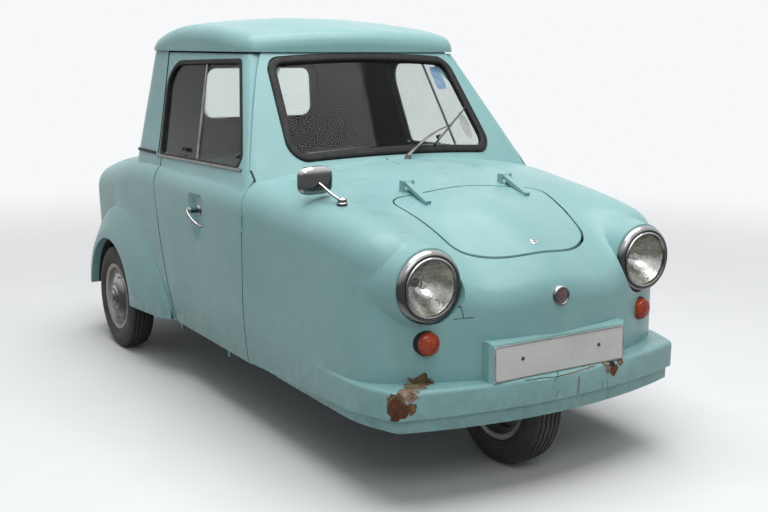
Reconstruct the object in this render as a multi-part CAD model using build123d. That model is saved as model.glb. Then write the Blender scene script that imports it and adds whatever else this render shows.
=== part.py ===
from build123d import *
import math
import os

# A small three wheeled car with a glass-fibre body: one steered wheel in front, two wheels behind.
# Millimetres. The front faces -Y, +Z is up, and the origin is on the ground under the middle of the car.
# The car's right side is -X, which is also the driver's side.

os.makedirs("parts", exist_ok=True)

# Overall body
NOSE_Y = -1321          # front of the nose panel at the centre
TAIL_Y = 1290           # rear of the tail panel at the centre
SILL_Z = 245            # lower edge of the body
WALL = 16               # skin of the body with its lining
DOOR_WALL = 40          # a door is this thick
SHUT_GAP = 7            # between a moving panel and its opening
SHOULDER_R = 105        # rounding between the sides and the top of the body

# Plan outlines: height, half width near the nose, half width at the doors, half width at the tail
PLAN = [
    (SILL_Z, 590, 602, 600),
    (520, 586, 640, 632),
    (790, 566, 652, 640),
    (1100, 560, 656, 644),
]
TAPER_BACK_Y = -420     # ahead of this the sides run in towards the nose
NOSE_BOW = 68           # how far the nose panel curves back at NOSE_BOW_HALF
NOSE_BOW_HALF = 350
NOSE_CORNER_R = 150
SIDE_R = 2500           # the slow turn of the sides beside the doors
TAIL_BOW = 45
TAIL_CORNER_R = 170

VALLEY_X = 312
CREST_X = 445
BROW_X = 600
# Height of the upper surface along the car, at the middle, in the valley, on the wing's crest and on its brow
TOP_LINE = [
    (-1400, 560, 535, 670, 640),
    (-1321, 632, 605, 712, 680),
    (-1230, 715, 676, 752, 722),
    (-1150, 770, 728, 785, 757),
    (-1034, 826, 787, 818, 795),
    (-880, 866, 838, 845, 824),
    (-719, 896, 875, 867, 845),
    (-460, 937, 916, 899, 872),
    (-200, 925, 916, 904, 880),
    (600, 905, 899, 892, 872),
    (900, 880, 870, 860, 836),
    (1150, 838, 828, 810, 778),
    (1400, 770, 752, 736, 700),
]
TOP_HALF = 760          # half width of the block under those arcs

# Cabin above the belt line
BELT_Z = 905
SCREEN_RAKE = 0.80      # the screen runs back this far for each millimetre of height
SCREEN_FOOT_Y = -466    # centre of the screen's plane at the belt line
SCREEN_HALF = 430
SCREEN_BOW = 34         # the screen curves back this far at SCREEN_HALF
FRONT_LEAN = 0.366      # the sides lean in this far for each millimetre of height at the screen
BACK_SIDE_LEAN = 0.16   # and this far at the back wall
BELT_HALF = 601
BACK_FOOT_Y = 785
BACK_LEAN = 0.07
BACK_BOW = 30
PILLAR_R = 60
BACK_CORNER_R = 130
ROOF_SEAM_Z = 1310
ROOF_OVERHANG = 9
ROOF_EDGE_R = 62
# Crown of the roof along the car: y, height at the centre, drop at the roof's edge
ROOF_LINE = [
    (-260, 1352, 34),
    (-60, 1402, 34),
    (150, 1432, 34),
    (330, 1443, 34),
    (520, 1434, 38),
    (700, 1385, 44),
    (900, 1290, 50),
]
ROOF_HALF = 480
ROOF_HIGH = 200         # taller than the crown

# Wheels and tyres, 10 inch discs
TYRE_R = 228
TYRE_HALF = 56
TREAD_HALF = 24
RIM_R = 134             # inside of the tyre
RIM_HALF = 48
HUB_R = 104             # hub cap
HUB_BORE_R = 27         # centre hole of a disc
STUB_R = 24             # stub axle in that hole
WHEEL_Z = TYRE_R
FRONT_WHEEL_Y = -1070
REAR_WHEEL_Y = 905
REAR_TRACK_HALF = 600
BOLT_CIRCLE_R = 50
BOLT_HOLE_R = 6
ARCH_R = 264            # opening of the rear wheel arch
# Flares of the rear arches: half width, then y, z and radius of the round section there
FLARE = [
    (570, 800, 205, 470),
    (632, 800, 205, 450),
    (656, 838, 214, 385),
    (670, 878, 224, 325),
    (677, 902, 230, 276),
]

# Steering
RAKE = math.radians(8)

# Door hinges: a pin line up the shut gap, and the barrels' heights on it
HINGE_X = 648
HINGE_Y = -447
HINGE_R = 3
HINGE_ZS = (722, 738, 772, 788)

# Doors, in side view: y and z
# Front edge of a door from the sill to the belt line
DOOR_FRONT = [(-392, 225), (-441, 600), (-452, 790), (-424, 862), (-412, 917)]
PILLAR_FOOT_Y = -390    # rear edge of the screen pillar at the belt line
PILLAR_TOP_Y = -112     # and at the top of the door
DOOR_REAR_TOP_Y = 407
DOOR_REAR_LOW_Y = 292
DOOR_LOW_Z = 250
DOOR_INNER_X = 575      # the doors' lower panels end here
WINDOW_LOW_Z = 918
WINDOW_FALL = 16        # the window's edges fall this much towards the back
WINDOW_CORNER_R = 30
WINDOW_REAR_FOOT_Y = 446
WINDOW_REAR_TOP_Y = 512
FRAME_BAR = 24          # frame bars round the door's glass
GLASS = 5

# Lids
LID_HALF = 318
LID_REAR_Y = -811
LID_FRONT_Y = -1228
LID_HINGE_X = 202
LID_HINGE_Y = -777
LID_HINGE_Z = 894
LID_SIDE_Y = -1130
LID_TAPER = 56
LID_REAR_R = 60
LID_FRONT_R = 90
ENGINE_LID_HALF = 400
ENGINE_LID_CORNER_R = 60
ENGINE_LID_TAPER = 30
ENGINE_LID_LOW_Z = 470
ENGINE_LID_HIGH_Z = 735

# Lamps
LAMP_X = 421
LAMP_Y = -1244          # front of the rim
LAMP_Z = 658
LAMP_R = 106.5
RIM_DEPTH = 18
POD_R = 112
# The wing swells forward into each lamp: x, y, z and radius of its round sections
LAMP_POD = [
    (421, -1226, 658, 112),
    (425, -1170, 652, 125),
    (433, -1080, 645, 152),
]
LENS_SAG = 14           # the glass is domed by this much
LENS_BALL_R = 347
BOWL_R = 90
BOWL_DEPTH = 110
INDICATOR_X = 422
INDICATOR_Y = -1241
INDICATOR_Z = 491
INDICATOR_R = 38.5

# Moulded bumper ledge round the nose and the tail
HALF_LENGTH = 1355      # the ledges reach this far from the middle of the car
LEDGE_TOP_Z = 371
LEDGE_BOTTOM_Z = 287
LEDGE_HALF = 549        # half width at the nose corners
LEDGE_BOW = 88
LEDGE_CORNER_R = 42
LEDGE_WING_HALF = 604   # the ledge's sides along the wings
LEDGE_WING_Y = -1120
LEDGE_WING_R = 400
LEDGE_FADE_Y = -560     # the ledge runs out into the wing here
LEDGE_EDGE_R = 14
TAIL_LEDGE_HALF = 640
TAIL_LEDGE_FRONT_Y = 1180
TAIL_LEDGE_CORNER_R = 110
SEAM_FALL = 0.045       # the seam above the skirt falls this much for each millimetre back
SKIRT_IN = 12           # the skirt below the ledge is set back by this
SKIRT_THICK = 8

# Plate plinth on the nose
PLATE_WIDTH = 508
PLATE_HEIGHT = 107
PLATE_Z = 425
PLATE_THICK = 5
PLINTH_BORDER = 12
PLATE_TILT = 2
PLATE_BACK_Y = -1328
PLINTH_DEPTH = 60
PLINTH_BEVEL = 9

# Openings of the windscreen and the rear window
SCREEN_LOW_HALF = 438
SCREEN_HIGH_HALF = 399
SCREEN_LOW_Z = 932
SCREEN_HIGH_Z = 1291
SCREEN_ARCH = 16        # rise of the screen's edges at the middle
SCREEN_CORNER_R = 62
RUBBER = 30             # width of the seals
RUBBER_PROUD = 4
BACK_WINDOW_HALF = 300
BACK_WINDOW_LOW_Z = 985
BACK_WINDOW_HIGH_Z = 1262
BACK_WINDOW_TAPER = 20
BACK_WINDOW_CORNER_R = 70

# Badge, tail lamps, handles and pegs
BADGE_R = 30
BADGE_Z = 602
TAIL_LAMP_X = 470
TAIL_LAMP_Y = 1240
TAIL_LAMP_Z = 560
TAIL_LAMP_R = 34
HANDLE_Y = -50
HANDLE_Z = 742
SCOOP_FLOOR_X = 632
SCOOP_RIM_X = 664
SCOOP_HALF = 87
SCOOP_RISE = 80         # above the handle's boss
SCOOP_FALL = 240        # and below it, down to a point
SCOOP_CORNER_R = 34
SCOOP_FLOOR_SCALE = 0.55
BOSS_R = 15
BOSS_OUT = 34
# Bent lever of a door handle: outwards, along and up from the boss's foot
LEVER = [(32, 24, 4), (36, -8, -26), (30, -46, -58), (20, -76, -74)]
LEVER_THICK = 9
LEVER_WIDTH = 16
SILL_PEG_X = 588
PEG_YS = (-196, 262)
INDICATOR_DEPTH = 30
FIT = 0.3               # between pieces that seat on each other
RUN_FIT = 0.08          # round a shaft that turns, and behind the plate
GLASS_IN = 8            # the glass lies this far inside the cabin's skin
FRAME_WALL = 26         # thickness of a door's window frame

# Mirror and wiper, as points in space
MIRROR_FOOT = (-480, -836, 857)
MIRROR_ELBOW = (-497, -800, 880)
MIRROR_NECK = (-520, -752, 912)
MIRROR_HEAD = (-520, -741, 918)
MIRROR_WIDTH = 125
MIRROR_HEIGHT = 90
MIRROR_TURN = 8
MIRROR_STEM_R = 6
WIPER_PIVOT = (0, -474, 944)
WIPER_KNUCKLE = (62, -436, 976)
WIPER_HEEL = (54, -441, 973)
WIPER_CLIP = (250, -372, 1035)
WIPER_LOW = (150, -424, 975)
WIPER_HIGH = (385, -298, 1105)
EYE_HALF = 14           # half width of a lid's hinge eye
REAR_HINGE_X = 250
REAR_HINGE_Y = 1296
REAR_HINGE_Z = 741
STRAP_TIP_Y = -902
STRAP_TIP_Z = 845

# Rear of the wheels
DRUM_R = 84
DRUM_IN = 28            # the drum reaches this far inwards from the wheel's middle
HUB_OUT = 34            # and the hub this far outwards
SPACER_R = 31
BOLT_COUNT = 4

# Fork and head frame
CROWN_Z = 466
CROWN_THICK = 18
CROWN_R = 88
HEAD_LOW_Z = 505
HEAD_TOP_Z = 650
HEAD_R = 42
HEAD_BORE_R = 31
FORK_LEG_X = 72

# Chassis
RAIL_X = 250
RAIL_WIDTH = 50
RAIL_LOW_Z = 195
RAIL_HIGH_Z = 258
RAIL_RISE_Y = 700
REAR_RAIL_LOW_Z = 300
REAR_RAIL_HIGH_Z = 360
RAIL_END_Y = 1180
HEAD_FRAME_Y = -790
HEAD_POST_X = 150
HEAD_ARM_Z = 590
OUTRIGGER_X = 540
OUTRIGGER_YS = (-450, 250)
ARM_X = 320
DAMPER_X = 420
DAMPER_LOW_Z = 268
DAMPER_TOP_Z = 590
DAMPER_R = 16
SPRING_R = 34
SPRING_TURNS = 7
SPRING_PITCH = 38
SPRING_WIRE = 12
ENGINE_HALF = 190
ENGINE_TOP_Z = 640
SILENCER_R = 42
TAIL_PIPE_X = -500
TAIL_PIPE_Z = 226
TAIL_PIPE_END_Y = 1338
TAIL_PIPE_R = 15
TAIL_PIPE_BORE_R = 12

# Inside the cabin
TUB_WALL = 12
TUB_HALF = 545
TUB_FRONT_Y = -745
TUB_REAR_Y = 700
DASH_HALF = 580
DASH_FRONT_Y = -640
DASH_REAR_Y = -405
DASH_LOW_Z = 690
DASH_SHELF_Z = 876
SEAT_HALF = 505
SEAT_FRONT_Y = 60
SEAT_REAR_Y = 650
SEAT_BASE_Z = 340
SEAT_TOP_Z = 450
SEAT_BACK_THICK = 90
SEAT_BACK_HEIGHT = 505
SEAT_BACK_Y = 590
SEAT_BACK_Z = 592.3
CUSHION_REAR_Y = 498
SEAT_BACK_LEAN = 10
COLUMN_FOOT = (-270, -740, 470)
COLUMN_TOP = (-270, -215, 735)
STEERING_WHEEL_R = 178


def plan_face(z, nose, doors, tail, inset=0.0):
    """Outline of the body at height z: a bowed nose, long sides and a bowed tail."""
    front = NOSE_Y + inset
    rear = TAIL_Y - inset
    nose_x = nose - inset
    door_x = doors - inset
    tail_x = tail - inset
    corner_y = front + NOSE_BOW * (nose_x / NOSE_BOW_HALF) ** 2
    tail_corner_y = rear - TAIL_BOW
    edges = [
        ThreePointArc((-nose_x, corner_y), (0, front), (nose_x, corner_y)),
        Line((nose_x, corner_y), (door_x, TAPER_BACK_Y)),
        Line((door_x, TAPER_BACK_Y), (tail_x, tail_corner_y)),
        ThreePointArc((tail_x, tail_corner_y), (0, rear), (-tail_x, tail_corner_y)),
        Line((-tail_x, tail_corner_y), (-door_x, TAPER_BACK_Y)),
        Line((-door_x, TAPER_BACK_Y), (-nose_x, corner_y)),
    ]
    face = make_face(edges)
    for y, radius in (
        (corner_y, NOSE_CORNER_R - inset),
        (TAPER_BACK_Y, SIDE_R),
        (tail_corner_y, TAIL_CORNER_R - inset),
    ):
        corners = [v for v in face.vertices() if abs(v.Y - y) < 1]
        face = fillet(corners, radius)
    return Pos(0, 0, z) * face


def crown_block(line, half, at_x, low, inset=0.0):
    """A block whose top is a smooth crowned surface over the stations of line."""
    faces = []
    for y, centre, side in line:
        top = centre - inset
        edge = top + (side - centre) * (half / at_x) ** 2
        left_foot = (-half, low)
        right_foot = (half, low)
        left_top = (-half, edge)
        right_top = (half, edge)
        edges = [
            Line(left_foot, right_foot),
            Line(right_foot, right_top),
            ThreePointArc(right_top, (0, top), left_top),
            Line(left_top, left_foot),
        ]
        faces.append(Plane.XZ.offset(-y) * make_face(edges))
    return loft(faces)


def winged_block(inset):
    """The block under the body's upper surface: a crowned middle between two raised wings."""
    low = SILL_Z - 60
    faces = []
    for y, middle, valley, crest, brow in TOP_LINE:
        edge = brow - 1.6 * (crest - brow)
        half = [(VALLEY_X, valley), (CREST_X, crest), (BROW_X, brow), (TOP_HALF, edge)]
        right = [(x, z - inset) for x, z in half]
        left = [(-x, z) for x, z in reversed(right)]
        top = Spline(*left, (0, middle - inset), *right)
        edges = [
            Line((-TOP_HALF, low), (TOP_HALF, low)),
            Line((TOP_HALF, low), right[-1]),
            top,
            Line(left[0], (-TOP_HALF, low)),
        ]
        faces.append(Plane.XZ.offset(-y) * make_face(edges))
    return loft(faces)


def top_edges(solid):
    """Edges round the large upper surface."""
    large = [face for face in solid.faces() if face.area > 1e5]
    return max(large, key=lambda face: face.center().Z).edges()


def lower_form(inset=0.0):
    """The body below the belt line, as a solid set in by inset and open to below the sill."""
    faces = []
    for z, nose, doors, tail in PLAN:
        faces.append(plan_face(z, nose, doors, tail, inset))
    tub = loft(faces)
    block = winged_block(inset)
    solid = (tub & block).solids()[0]
    return fillet(top_edges(solid), SHOULDER_R - inset).solids()[0]


def cabin_face(z, grow=0.0):
    """Outline of the cabin at height z, made larger by grow all round."""
    rise = z - BELT_Z
    front = SCREEN_FOOT_Y + SCREEN_RAKE * rise - grow
    half = BELT_HALF - FRONT_LEAN * rise + grow
    rear_half = BELT_HALF - BACK_SIDE_LEAN * rise + grow
    rear = BACK_FOOT_Y - BACK_LEAN * rise + grow
    corner_y = front + SCREEN_BOW * (half / SCREEN_HALF) ** 2
    rear_corner_y = rear - BACK_BOW
    edges = [
        ThreePointArc((-half, corner_y), (0, front), (half, corner_y)),
        Line((half, corner_y), (rear_half, rear_corner_y)),
        ThreePointArc((rear_half, rear_corner_y), (0, rear), (-rear_half, rear_corner_y)),
        Line((-rear_half, rear_corner_y), (-half, corner_y)),
    ]
    face = make_face(edges)
    face = fillet([v for v in face.vertices() if v.Y < 0], PILLAR_R + grow)
    face = fillet([v for v in face.vertices() if v.Y > rear_corner_y - 1], BACK_CORNER_R + grow)
    return Pos(0, 0, z) * face


def cabin_form(inset=0.0, low=BELT_Z - 75, high=ROOF_SEAM_Z):
    return loft([cabin_face(low, -inset), cabin_face(high, -inset)])


def roof_form(inset=0.0):
    foot = cabin_face(ROOF_SEAM_Z, ROOF_OVERHANG - inset)
    column = extrude(foot, ROOF_HIGH, dir=(0, 0, 1))
    line = []
    for y, centre, drop in ROOF_LINE:
        line.append((y, centre, centre - drop))
    block = crown_block(line, ROOF_HALF + 60, ROOF_HALF, ROOF_SEAM_Z - ROOF_HIGH, inset)
    solid = (column & block).solids()[0]
    return fillet(top_edges(solid), ROOF_EDGE_R - inset).solids()[0]


def box_between(low, high):
    """A box from its lowest to its highest corner."""
    size = [b - a for a, b in zip(low, high)]
    middle = [(a + b) / 2 for a, b in zip(low, high)]
    return Pos(*middle) * Box(*size)


def side_box(side, near, far, y_low, y_high, z_low, z_high):
    """A box on one side of the car, from near to far of the middle."""
    xs = sorted((side * near, side * far))
    return box_between((xs[0], y_low, z_low), (xs[1], y_high, z_high))


def side_prism(points, side, near=250, far=800):
    """Points in side view (y, z) pushed through the body on one side, +1 for the left."""
    face = make_face(Polyline([(0, y, z) for y, z in points], close=True))
    prism = extrude(Pos(near, 0, 0) * face, far - near, dir=(1, 0, 0))
    return prism if side > 0 else mirror(prism, Plane.YZ)


def front_prism(points, y_low, y_high, radius=0.0):
    """Points in front view (x, z) pushed along the car."""
    face = make_face(Polyline([(x, y_low, z) for x, z in points], close=True))
    if radius:
        face = fillet(face.vertices(), radius)
    return extrude(face, y_high - y_low, dir=(0, 1, 0))


def both_sides(shape):
    """The shape and its mirror image as one piece of separate solids."""
    return Compound(children=shape.solids() + mirror(shape, Plane.YZ).solids())


def along_x(profile_points, y, z):
    """Revolve points (x, radius) about an axis that runs across the car at y, z."""
    face = make_face(Polyline([(x, y, z + r) for x, r in profile_points], close=True))
    return revolve(face, axis=Axis((0, y, z), (1, 0, 0)))


def along_y(profile_points, x, z):
    """Revolve points (y, radius) about an axis that runs along the car at x, z."""
    face = make_face(Polyline([(x, y, z + r) for y, r in profile_points], close=True))
    return revolve(face, axis=Axis((x, 0, z), (0, 1, 0)))


def tube(start, end, radius, bore=0.0):
    """A round bar or tube between two points."""
    path = Vector(*end) - Vector(*start)
    plane = Plane(origin=start, z_dir=path.normalized())
    bar = extrude(plane * Circle(radius), path.length)
    if bore:
        bar -= extrude(plane * Circle(bore), path.length)
    return bar


def rail(start, end, width, height):
    """A rectangular bar between two points that keeps its height upright."""
    path = Vector(*end) - Vector(*start)
    across = Vector(-path.Y, path.X, 0)
    plane = Plane(origin=start, x_dir=across.normalized(), z_dir=path.normalized())
    return extrude(plane * Rectangle(width, height), path.length)


def save(shape, name):
    export_step(shape, f"parts/{name}.step")


def seam_z(y):
    """Height of the seam under the ledge, which falls towards the doors."""
    return LEDGE_BOTTOM_Z - SEAM_FALL * (y + HALF_LENGTH - LEDGE_BOW)


def below_seam():
    """Everything under the seam, ahead of where the ledge ends."""
    front = -HALF_LENGTH - 60
    rear = LEDGE_FADE_Y + 150
    points = [(front, 0), (rear, 0), (rear, seam_z(rear)), (front, seam_z(front))]
    return side_prism(points, 1, -800, 800)


def ledge_face(z, grow=0.0):
    """Outline of the nose ledge, which runs back along the wings to LEDGE_FADE_Y."""
    front = -HALF_LENGTH - grow
    corner_y = front + LEDGE_BOW
    half = LEDGE_HALF + grow
    wing = LEDGE_WING_HALF + grow
    right = [(half, corner_y), (wing, LEDGE_WING_Y), (wing, LEDGE_FADE_Y)]
    left = [(-x, y) for x, y in reversed(right)]
    edges = [ThreePointArc(left[-1], (0, front), right[0])]
    loop = right + left
    for start, end in zip(loop, loop[1:]):
        edges.append(Line(start, end))
    face = make_face(edges)
    face = fillet([v for v in face.vertices() if abs(v.Y - corner_y) < 1], LEDGE_CORNER_R + grow)
    face = fillet([v for v in face.vertices() if abs(v.Y - LEDGE_WING_Y) < 1], LEDGE_WING_R)
    return Pos(0, 0, z) * face


def nose_ledge():
    block = extrude(ledge_face(SILL_Z), LEDGE_TOP_Z - SILL_Z, dir=(0, 0, 1))
    upper = block.edges().filter_by_position(Axis.Z, LEDGE_TOP_Z - 1, LEDGE_TOP_Z + 1)
    return fillet(upper, LEDGE_EDGE_R) - below_seam()


def skirt():
    """The narrow apron under the ledge."""
    ring = ledge_face(SILL_Z, -SKIRT_IN) - ledge_face(SILL_Z, -SKIRT_IN - SKIRT_THICK)
    wall = extrude(ring, LEDGE_TOP_Z - SILL_Z, dir=(0, 0, 1)) & below_seam()
    return wall & box_between((-800, -HALF_LENGTH, 0), (800, LEDGE_FADE_Y - SKIRT_THICK * 3, 400))


def tail_ledge():
    """Bumper ledge round the tail, with rounded corners."""
    front = TAIL_LEDGE_FRONT_Y
    half = TAIL_LEDGE_HALF
    corner_y = HALF_LENGTH - TAIL_BOW
    edges = [
        Line((-half, front), (half, front)),
        Line((half, front), (half, corner_y)),
        ThreePointArc((half, corner_y), (0, HALF_LENGTH), (-half, corner_y)),
        Line((-half, corner_y), (-half, front)),
    ]
    face = make_face(edges)
    face = fillet([v for v in face.vertices() if v.Y > corner_y - 1], TAIL_LEDGE_CORNER_R)
    foot = Pos(0, 0, LEDGE_BOTTOM_Z) * face
    block = extrude(foot, LEDGE_TOP_Z - LEDGE_BOTTOM_Z, dir=(0, 0, 1))
    upper = block.edges().filter_by_position(Axis.Z, LEDGE_TOP_Z - 1, LEDGE_TOP_Z + 1)
    return fillet(upper, LEDGE_EDGE_R)


def flare(side):
    """A crowned eyebrow over the rear wheel, wider in front of the wheel than behind it."""
    sections = []
    for x, y, z, radius in FLARE:
        sections.append(Plane(origin=(side * x, y, z), z_dir=(side, 0, 0)) * Circle(radius))
    bowl = loft(sections)
    return bowl & box_between((-900, 200, SILL_Z), (900, TAIL_Y - 90, 900))


def lamp_pod(side):
    """Swelling of the wing that ends in a round seat for the headlamp."""
    sections = []
    for x, y, z, radius in LAMP_POD:
        sections.append(Plane(origin=(side * x, y, z), z_dir=(0, 1, 0)) * Circle(radius))
    return loft(sections)


def lamp_bore(side):
    """The lamp's hole, and the room round its rim in front of the pod."""
    face_y = LAMP_Y + RIM_DEPTH
    seat = (side * LAMP_X, face_y, LAMP_Z)
    hole = tube((side * LAMP_X, face_y - 1, LAMP_Z), (side * LAMP_X, face_y + BOWL_DEPTH, LAMP_Z), BOWL_R)
    return hole + tube((side * LAMP_X, face_y - 150, LAMP_Z), seat, POD_R)


def plate_plinth():
    """Raised bed for the number plate, with bevelled edges."""
    width = PLATE_WIDTH + 2 * PLINTH_BORDER
    height = PLATE_HEIGHT + 2 * PLINTH_BORDER
    block = Box(width, PLINTH_DEPTH, height)
    block = chamfer(block.faces().sort_by(Axis.Y)[0].edges(), PLINTH_BEVEL)
    place = Pos(0, PLATE_BACK_Y + PLINTH_DEPTH / 2, PLATE_Z) * Rot(-PLATE_TILT, 0, 0)
    return place * block


def hinge_barrel(side, low, high, leaf_y):
    """One barrel of a door's hinge with the leaf that ties it into its panel at leaf_y."""
    barrel = tube((side * HINGE_X, HINGE_Y, low), (side * HINGE_X, HINGE_Y, high), HINGE_R)
    ys = sorted((HINGE_Y, leaf_y))
    return barrel + side_box(side, HINGE_X - 6, HINGE_X, ys[0], ys[1], low, high)


def door_prism(side, gap):
    """The space of a door in its opening, set in by gap."""
    low = [(y + gap, z) for y, z in DOOR_FRONT]
    low += [(DOOR_REAR_TOP_Y - gap, DOOR_FRONT[-1][1]), (DOOR_REAR_LOW_Y - gap, DOOR_FRONT[0][1])]
    top_z = ROOF_SEAM_Z - gap
    high = [
        (PILLAR_FOOT_Y + gap, BELT_Z),
        (PILLAR_TOP_Y + gap, top_z),
        (WINDOW_REAR_TOP_Y - 1.6 * gap, top_z),
        (WINDOW_REAR_FOOT_Y - 1.6 * gap, BELT_Z),
    ]
    panel = side_prism(low, side, DOOR_INNER_X + gap, 800)
    frame = side_prism(high, side, 250, 800)
    return panel + frame


def window_prism(side):
    """The space of the glass in a door."""
    points = [
        (PILLAR_FOOT_Y + SHUT_GAP + 1.5 * FRAME_BAR, WINDOW_LOW_Z),
        (PILLAR_TOP_Y + SHUT_GAP + 1.1 * FRAME_BAR, ROOF_SEAM_Z - SHUT_GAP - FRAME_BAR),
        (WINDOW_REAR_TOP_Y - SHUT_GAP - FRAME_BAR, ROOF_SEAM_Z - SHUT_GAP - FRAME_BAR - WINDOW_FALL),
        (WINDOW_REAR_FOOT_Y - SHUT_GAP - FRAME_BAR, WINDOW_LOW_Z - WINDOW_FALL),
    ]
    face = make_face(Polyline([(0, y, z) for y, z in points], close=True))
    face = fillet(face.vertices(), WINDOW_CORNER_R)
    prism = extrude(Pos(250, 0, 0) * face, 500, dir=(1, 0, 0))
    return prism if side > 0 else mirror(prism, Plane.YZ)


def screen_prism(inset, y_low, y_high):
    """The windscreen's outline in front view, pushed along the car."""
    low = SCREEN_LOW_HALF - inset
    high = SCREEN_HIGH_HALF - inset
    low_z = SCREEN_LOW_Z + inset
    high_z = SCREEN_HIGH_Z - inset
    arch = SCREEN_ARCH
    edges = [
        ThreePointArc((-low, y_low, low_z), (0, y_low, low_z + arch), (low, y_low, low_z)),
        Line((low, y_low, low_z), (high, y_low, high_z)),
        ThreePointArc((high, y_low, high_z), (0, y_low, high_z + arch), (-high, y_low, high_z)),
        Line((-high, y_low, high_z), (-low, y_low, low_z)),
    ]
    face = make_face(edges)
    face = fillet(face.vertices(), SCREEN_CORNER_R - inset)
    return extrude(face, y_high - y_low, dir=(0, 1, 0))


def back_window_prism(inset):
    """The rear window's outline, pushed along the car through the back wall."""
    half = BACK_WINDOW_HALF - inset
    low = BACK_WINDOW_LOW_Z + inset
    high = BACK_WINDOW_HIGH_Z - inset
    high_half = half - BACK_WINDOW_TAPER
    points = [(-half, low), (half, low), (high_half, high), (-high_half, high)]
    return front_prism(points, 500, 1000, BACK_WINDOW_CORNER_R - inset)


def lid_prism(gap):
    """The front lid's outline in plan, pushed up through the bonnet."""
    half = LID_HALF - gap
    rear = LID_REAR_Y - gap
    front = LID_FRONT_Y + gap
    side_y = LID_SIDE_Y + gap
    front_half = half - LID_TAPER
    edges = [
        Line((-half, rear, 500), (half, rear, 500)),
        Line((half, rear, 500), (front_half, side_y, 500)),
        ThreePointArc((front_half, side_y, 500), (0, front, 500), (-front_half, side_y, 500)),
        Line((-front_half, side_y, 500), (-half, rear, 500)),
    ]
    face = make_face(edges)
    face = fillet([v for v in face.vertices() if v.Y > rear - 1], LID_REAR_R - gap)
    face = fillet([v for v in face.vertices() if abs(v.Y - side_y) < 1], LID_FRONT_R - gap)
    return extrude(face, 600, dir=(0, 0, 1))


def engine_lid_prism(gap):
    """The engine lid's outline in rear view, pushed through the tail."""
    half = ENGINE_LID_HALF - gap
    low = ENGINE_LID_LOW_Z + gap
    high = ENGINE_LID_HIGH_Z - gap
    high_half = half - ENGINE_LID_TAPER
    points = [(-half, low), (half, low), (high_half, high), (-high_half, high)]
    return front_prism(points, 1050, 1500, ENGINE_LID_CORNER_R - gap)


# Solid forms of the outside and of the space inside it
lower_out = lower_form()
lower_in = lower_form(WALL)
cabin_out = cabin_form()
cabin_in = cabin_form(WALL, BELT_Z - 110)
roof_out = roof_form()
roof_in = roof_form(WALL)

# One skin with every opening cut, which then falls apart at the doors
skin = lower_out + cabin_out + nose_ledge() + tail_ledge() + flare(1) + flare(-1)
skin = skin + lamp_pod(1) + lamp_pod(-1) + plate_plinth()
skin = skin - lower_in - cabin_in - below_seam()
for side in (1, -1):
    skin -= door_prism(side, 0)
    arch_start = (side * 300, REAR_WHEEL_Y, WHEEL_Z)
    skin -= tube(arch_start, (side * 900, REAR_WHEEL_Y, WHEEL_Z), ARCH_R)
    skin -= lamp_bore(side)
skin = skin - screen_prism(0, -700, 150) - back_window_prism(0) - lid_prism(0) - engine_lid_prism(0)

# Front and rear halves of the body, and the roof with its pillars and back wall
front_half = skin & box_between((-900, -1500, 0), (900, 0, 1500))
rear_half = skin & box_between((-900, 0, 0), (900, 1500, 1500))
back_zone = cabin_form(-20) - lower_out
roof = (roof_out - roof_in) + (rear_half & back_zone)
for side in (1, -1):
    for low, high in (HINGE_ZS[:2], HINGE_ZS[2:]):
        front_half = front_half + hinge_barrel(side, low, high, HINGE_Y - 9)
save(front_half, "front_body")
rear_body = rear_half - back_zone
for side in (1, -1):
    for end in (1, -1):
        x = side * REAR_HINGE_X + end * (EYE_HALF + FIT + 5)
        low = (x - 5, REAR_HINGE_Y - 40, REAR_HINGE_Z - 5)
        rear_body = rear_body + (box_between(low, (x + 5, REAR_HINGE_Y + 8, REAR_HINGE_Z + 8)) - lower_in)
save(rear_body, "rear_body")
save(roof, "roof")
save(skirt(), "front_skirt")

# Doors: a thick shell with its window cut, the glass, and the handle in its scoop
door_low_in = lower_form(DOOR_WALL)
door_high_in = cabin_form(FRAME_WALL, BELT_Z - 110)
glass_out = cabin_form(GLASS_IN)
glass_in = cabin_form(GLASS_IN + GLASS)


def scoop(side):
    """Hollow behind a door handle, shield shaped and deeper in the middle."""
    outline = [(-1, 1), (1, 1), (1, 0), (0, -1), (-1, 0)]
    faces = []
    for x, scale in ((SCOOP_FLOOR_X, SCOOP_FLOOR_SCALE), (SCOOP_RIM_X, 1.0)):
        points = []
        for along, up in outline:
            reach = SCOOP_RISE if up > 0 else SCOOP_FALL
            points.append((x, HANDLE_Y + along * SCOOP_HALF * scale, HANDLE_Z + up * reach * scale))
        face = make_face(Polyline(points, close=True))
        faces.append(fillet(face.vertices(), SCOOP_CORNER_R * scale))
    hollow = loft(faces)
    return hollow if side > 0 else mirror(hollow, Plane.YZ)


def handle(side):
    """Bent lever on a round boss."""
    foot = Vector(SCOOP_FLOOR_X + FIT, HANDLE_Y, HANDLE_Z)
    piece = tube(foot, foot + Vector(BOSS_OUT, 0, 0), BOSS_R)
    points = [foot + Vector(*step) for step in LEVER]
    for start, end in zip(points, points[1:]):
        reach = (end - start).normalized() * 3
        piece += rail(start, end + reach, LEVER_THICK, LEVER_WIDTH)
    return piece if side > 0 else mirror(piece, Plane.YZ)


def peg(side, y):
    """Small bracket with a hanging peg under a door."""
    x = SILL_PEG_X
    plate = box_between((x - 4, y - 12, DOOR_LOW_Z - 12), (x + 4, y + 12, DOOR_LOW_Z + 22))
    pin = tube((x, y, DOOR_LOW_Z - 32), (x, y, DOOR_LOW_Z - 10), 6)
    piece = plate + pin
    return piece if side > 0 else mirror(piece, Plane.YZ)


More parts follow.
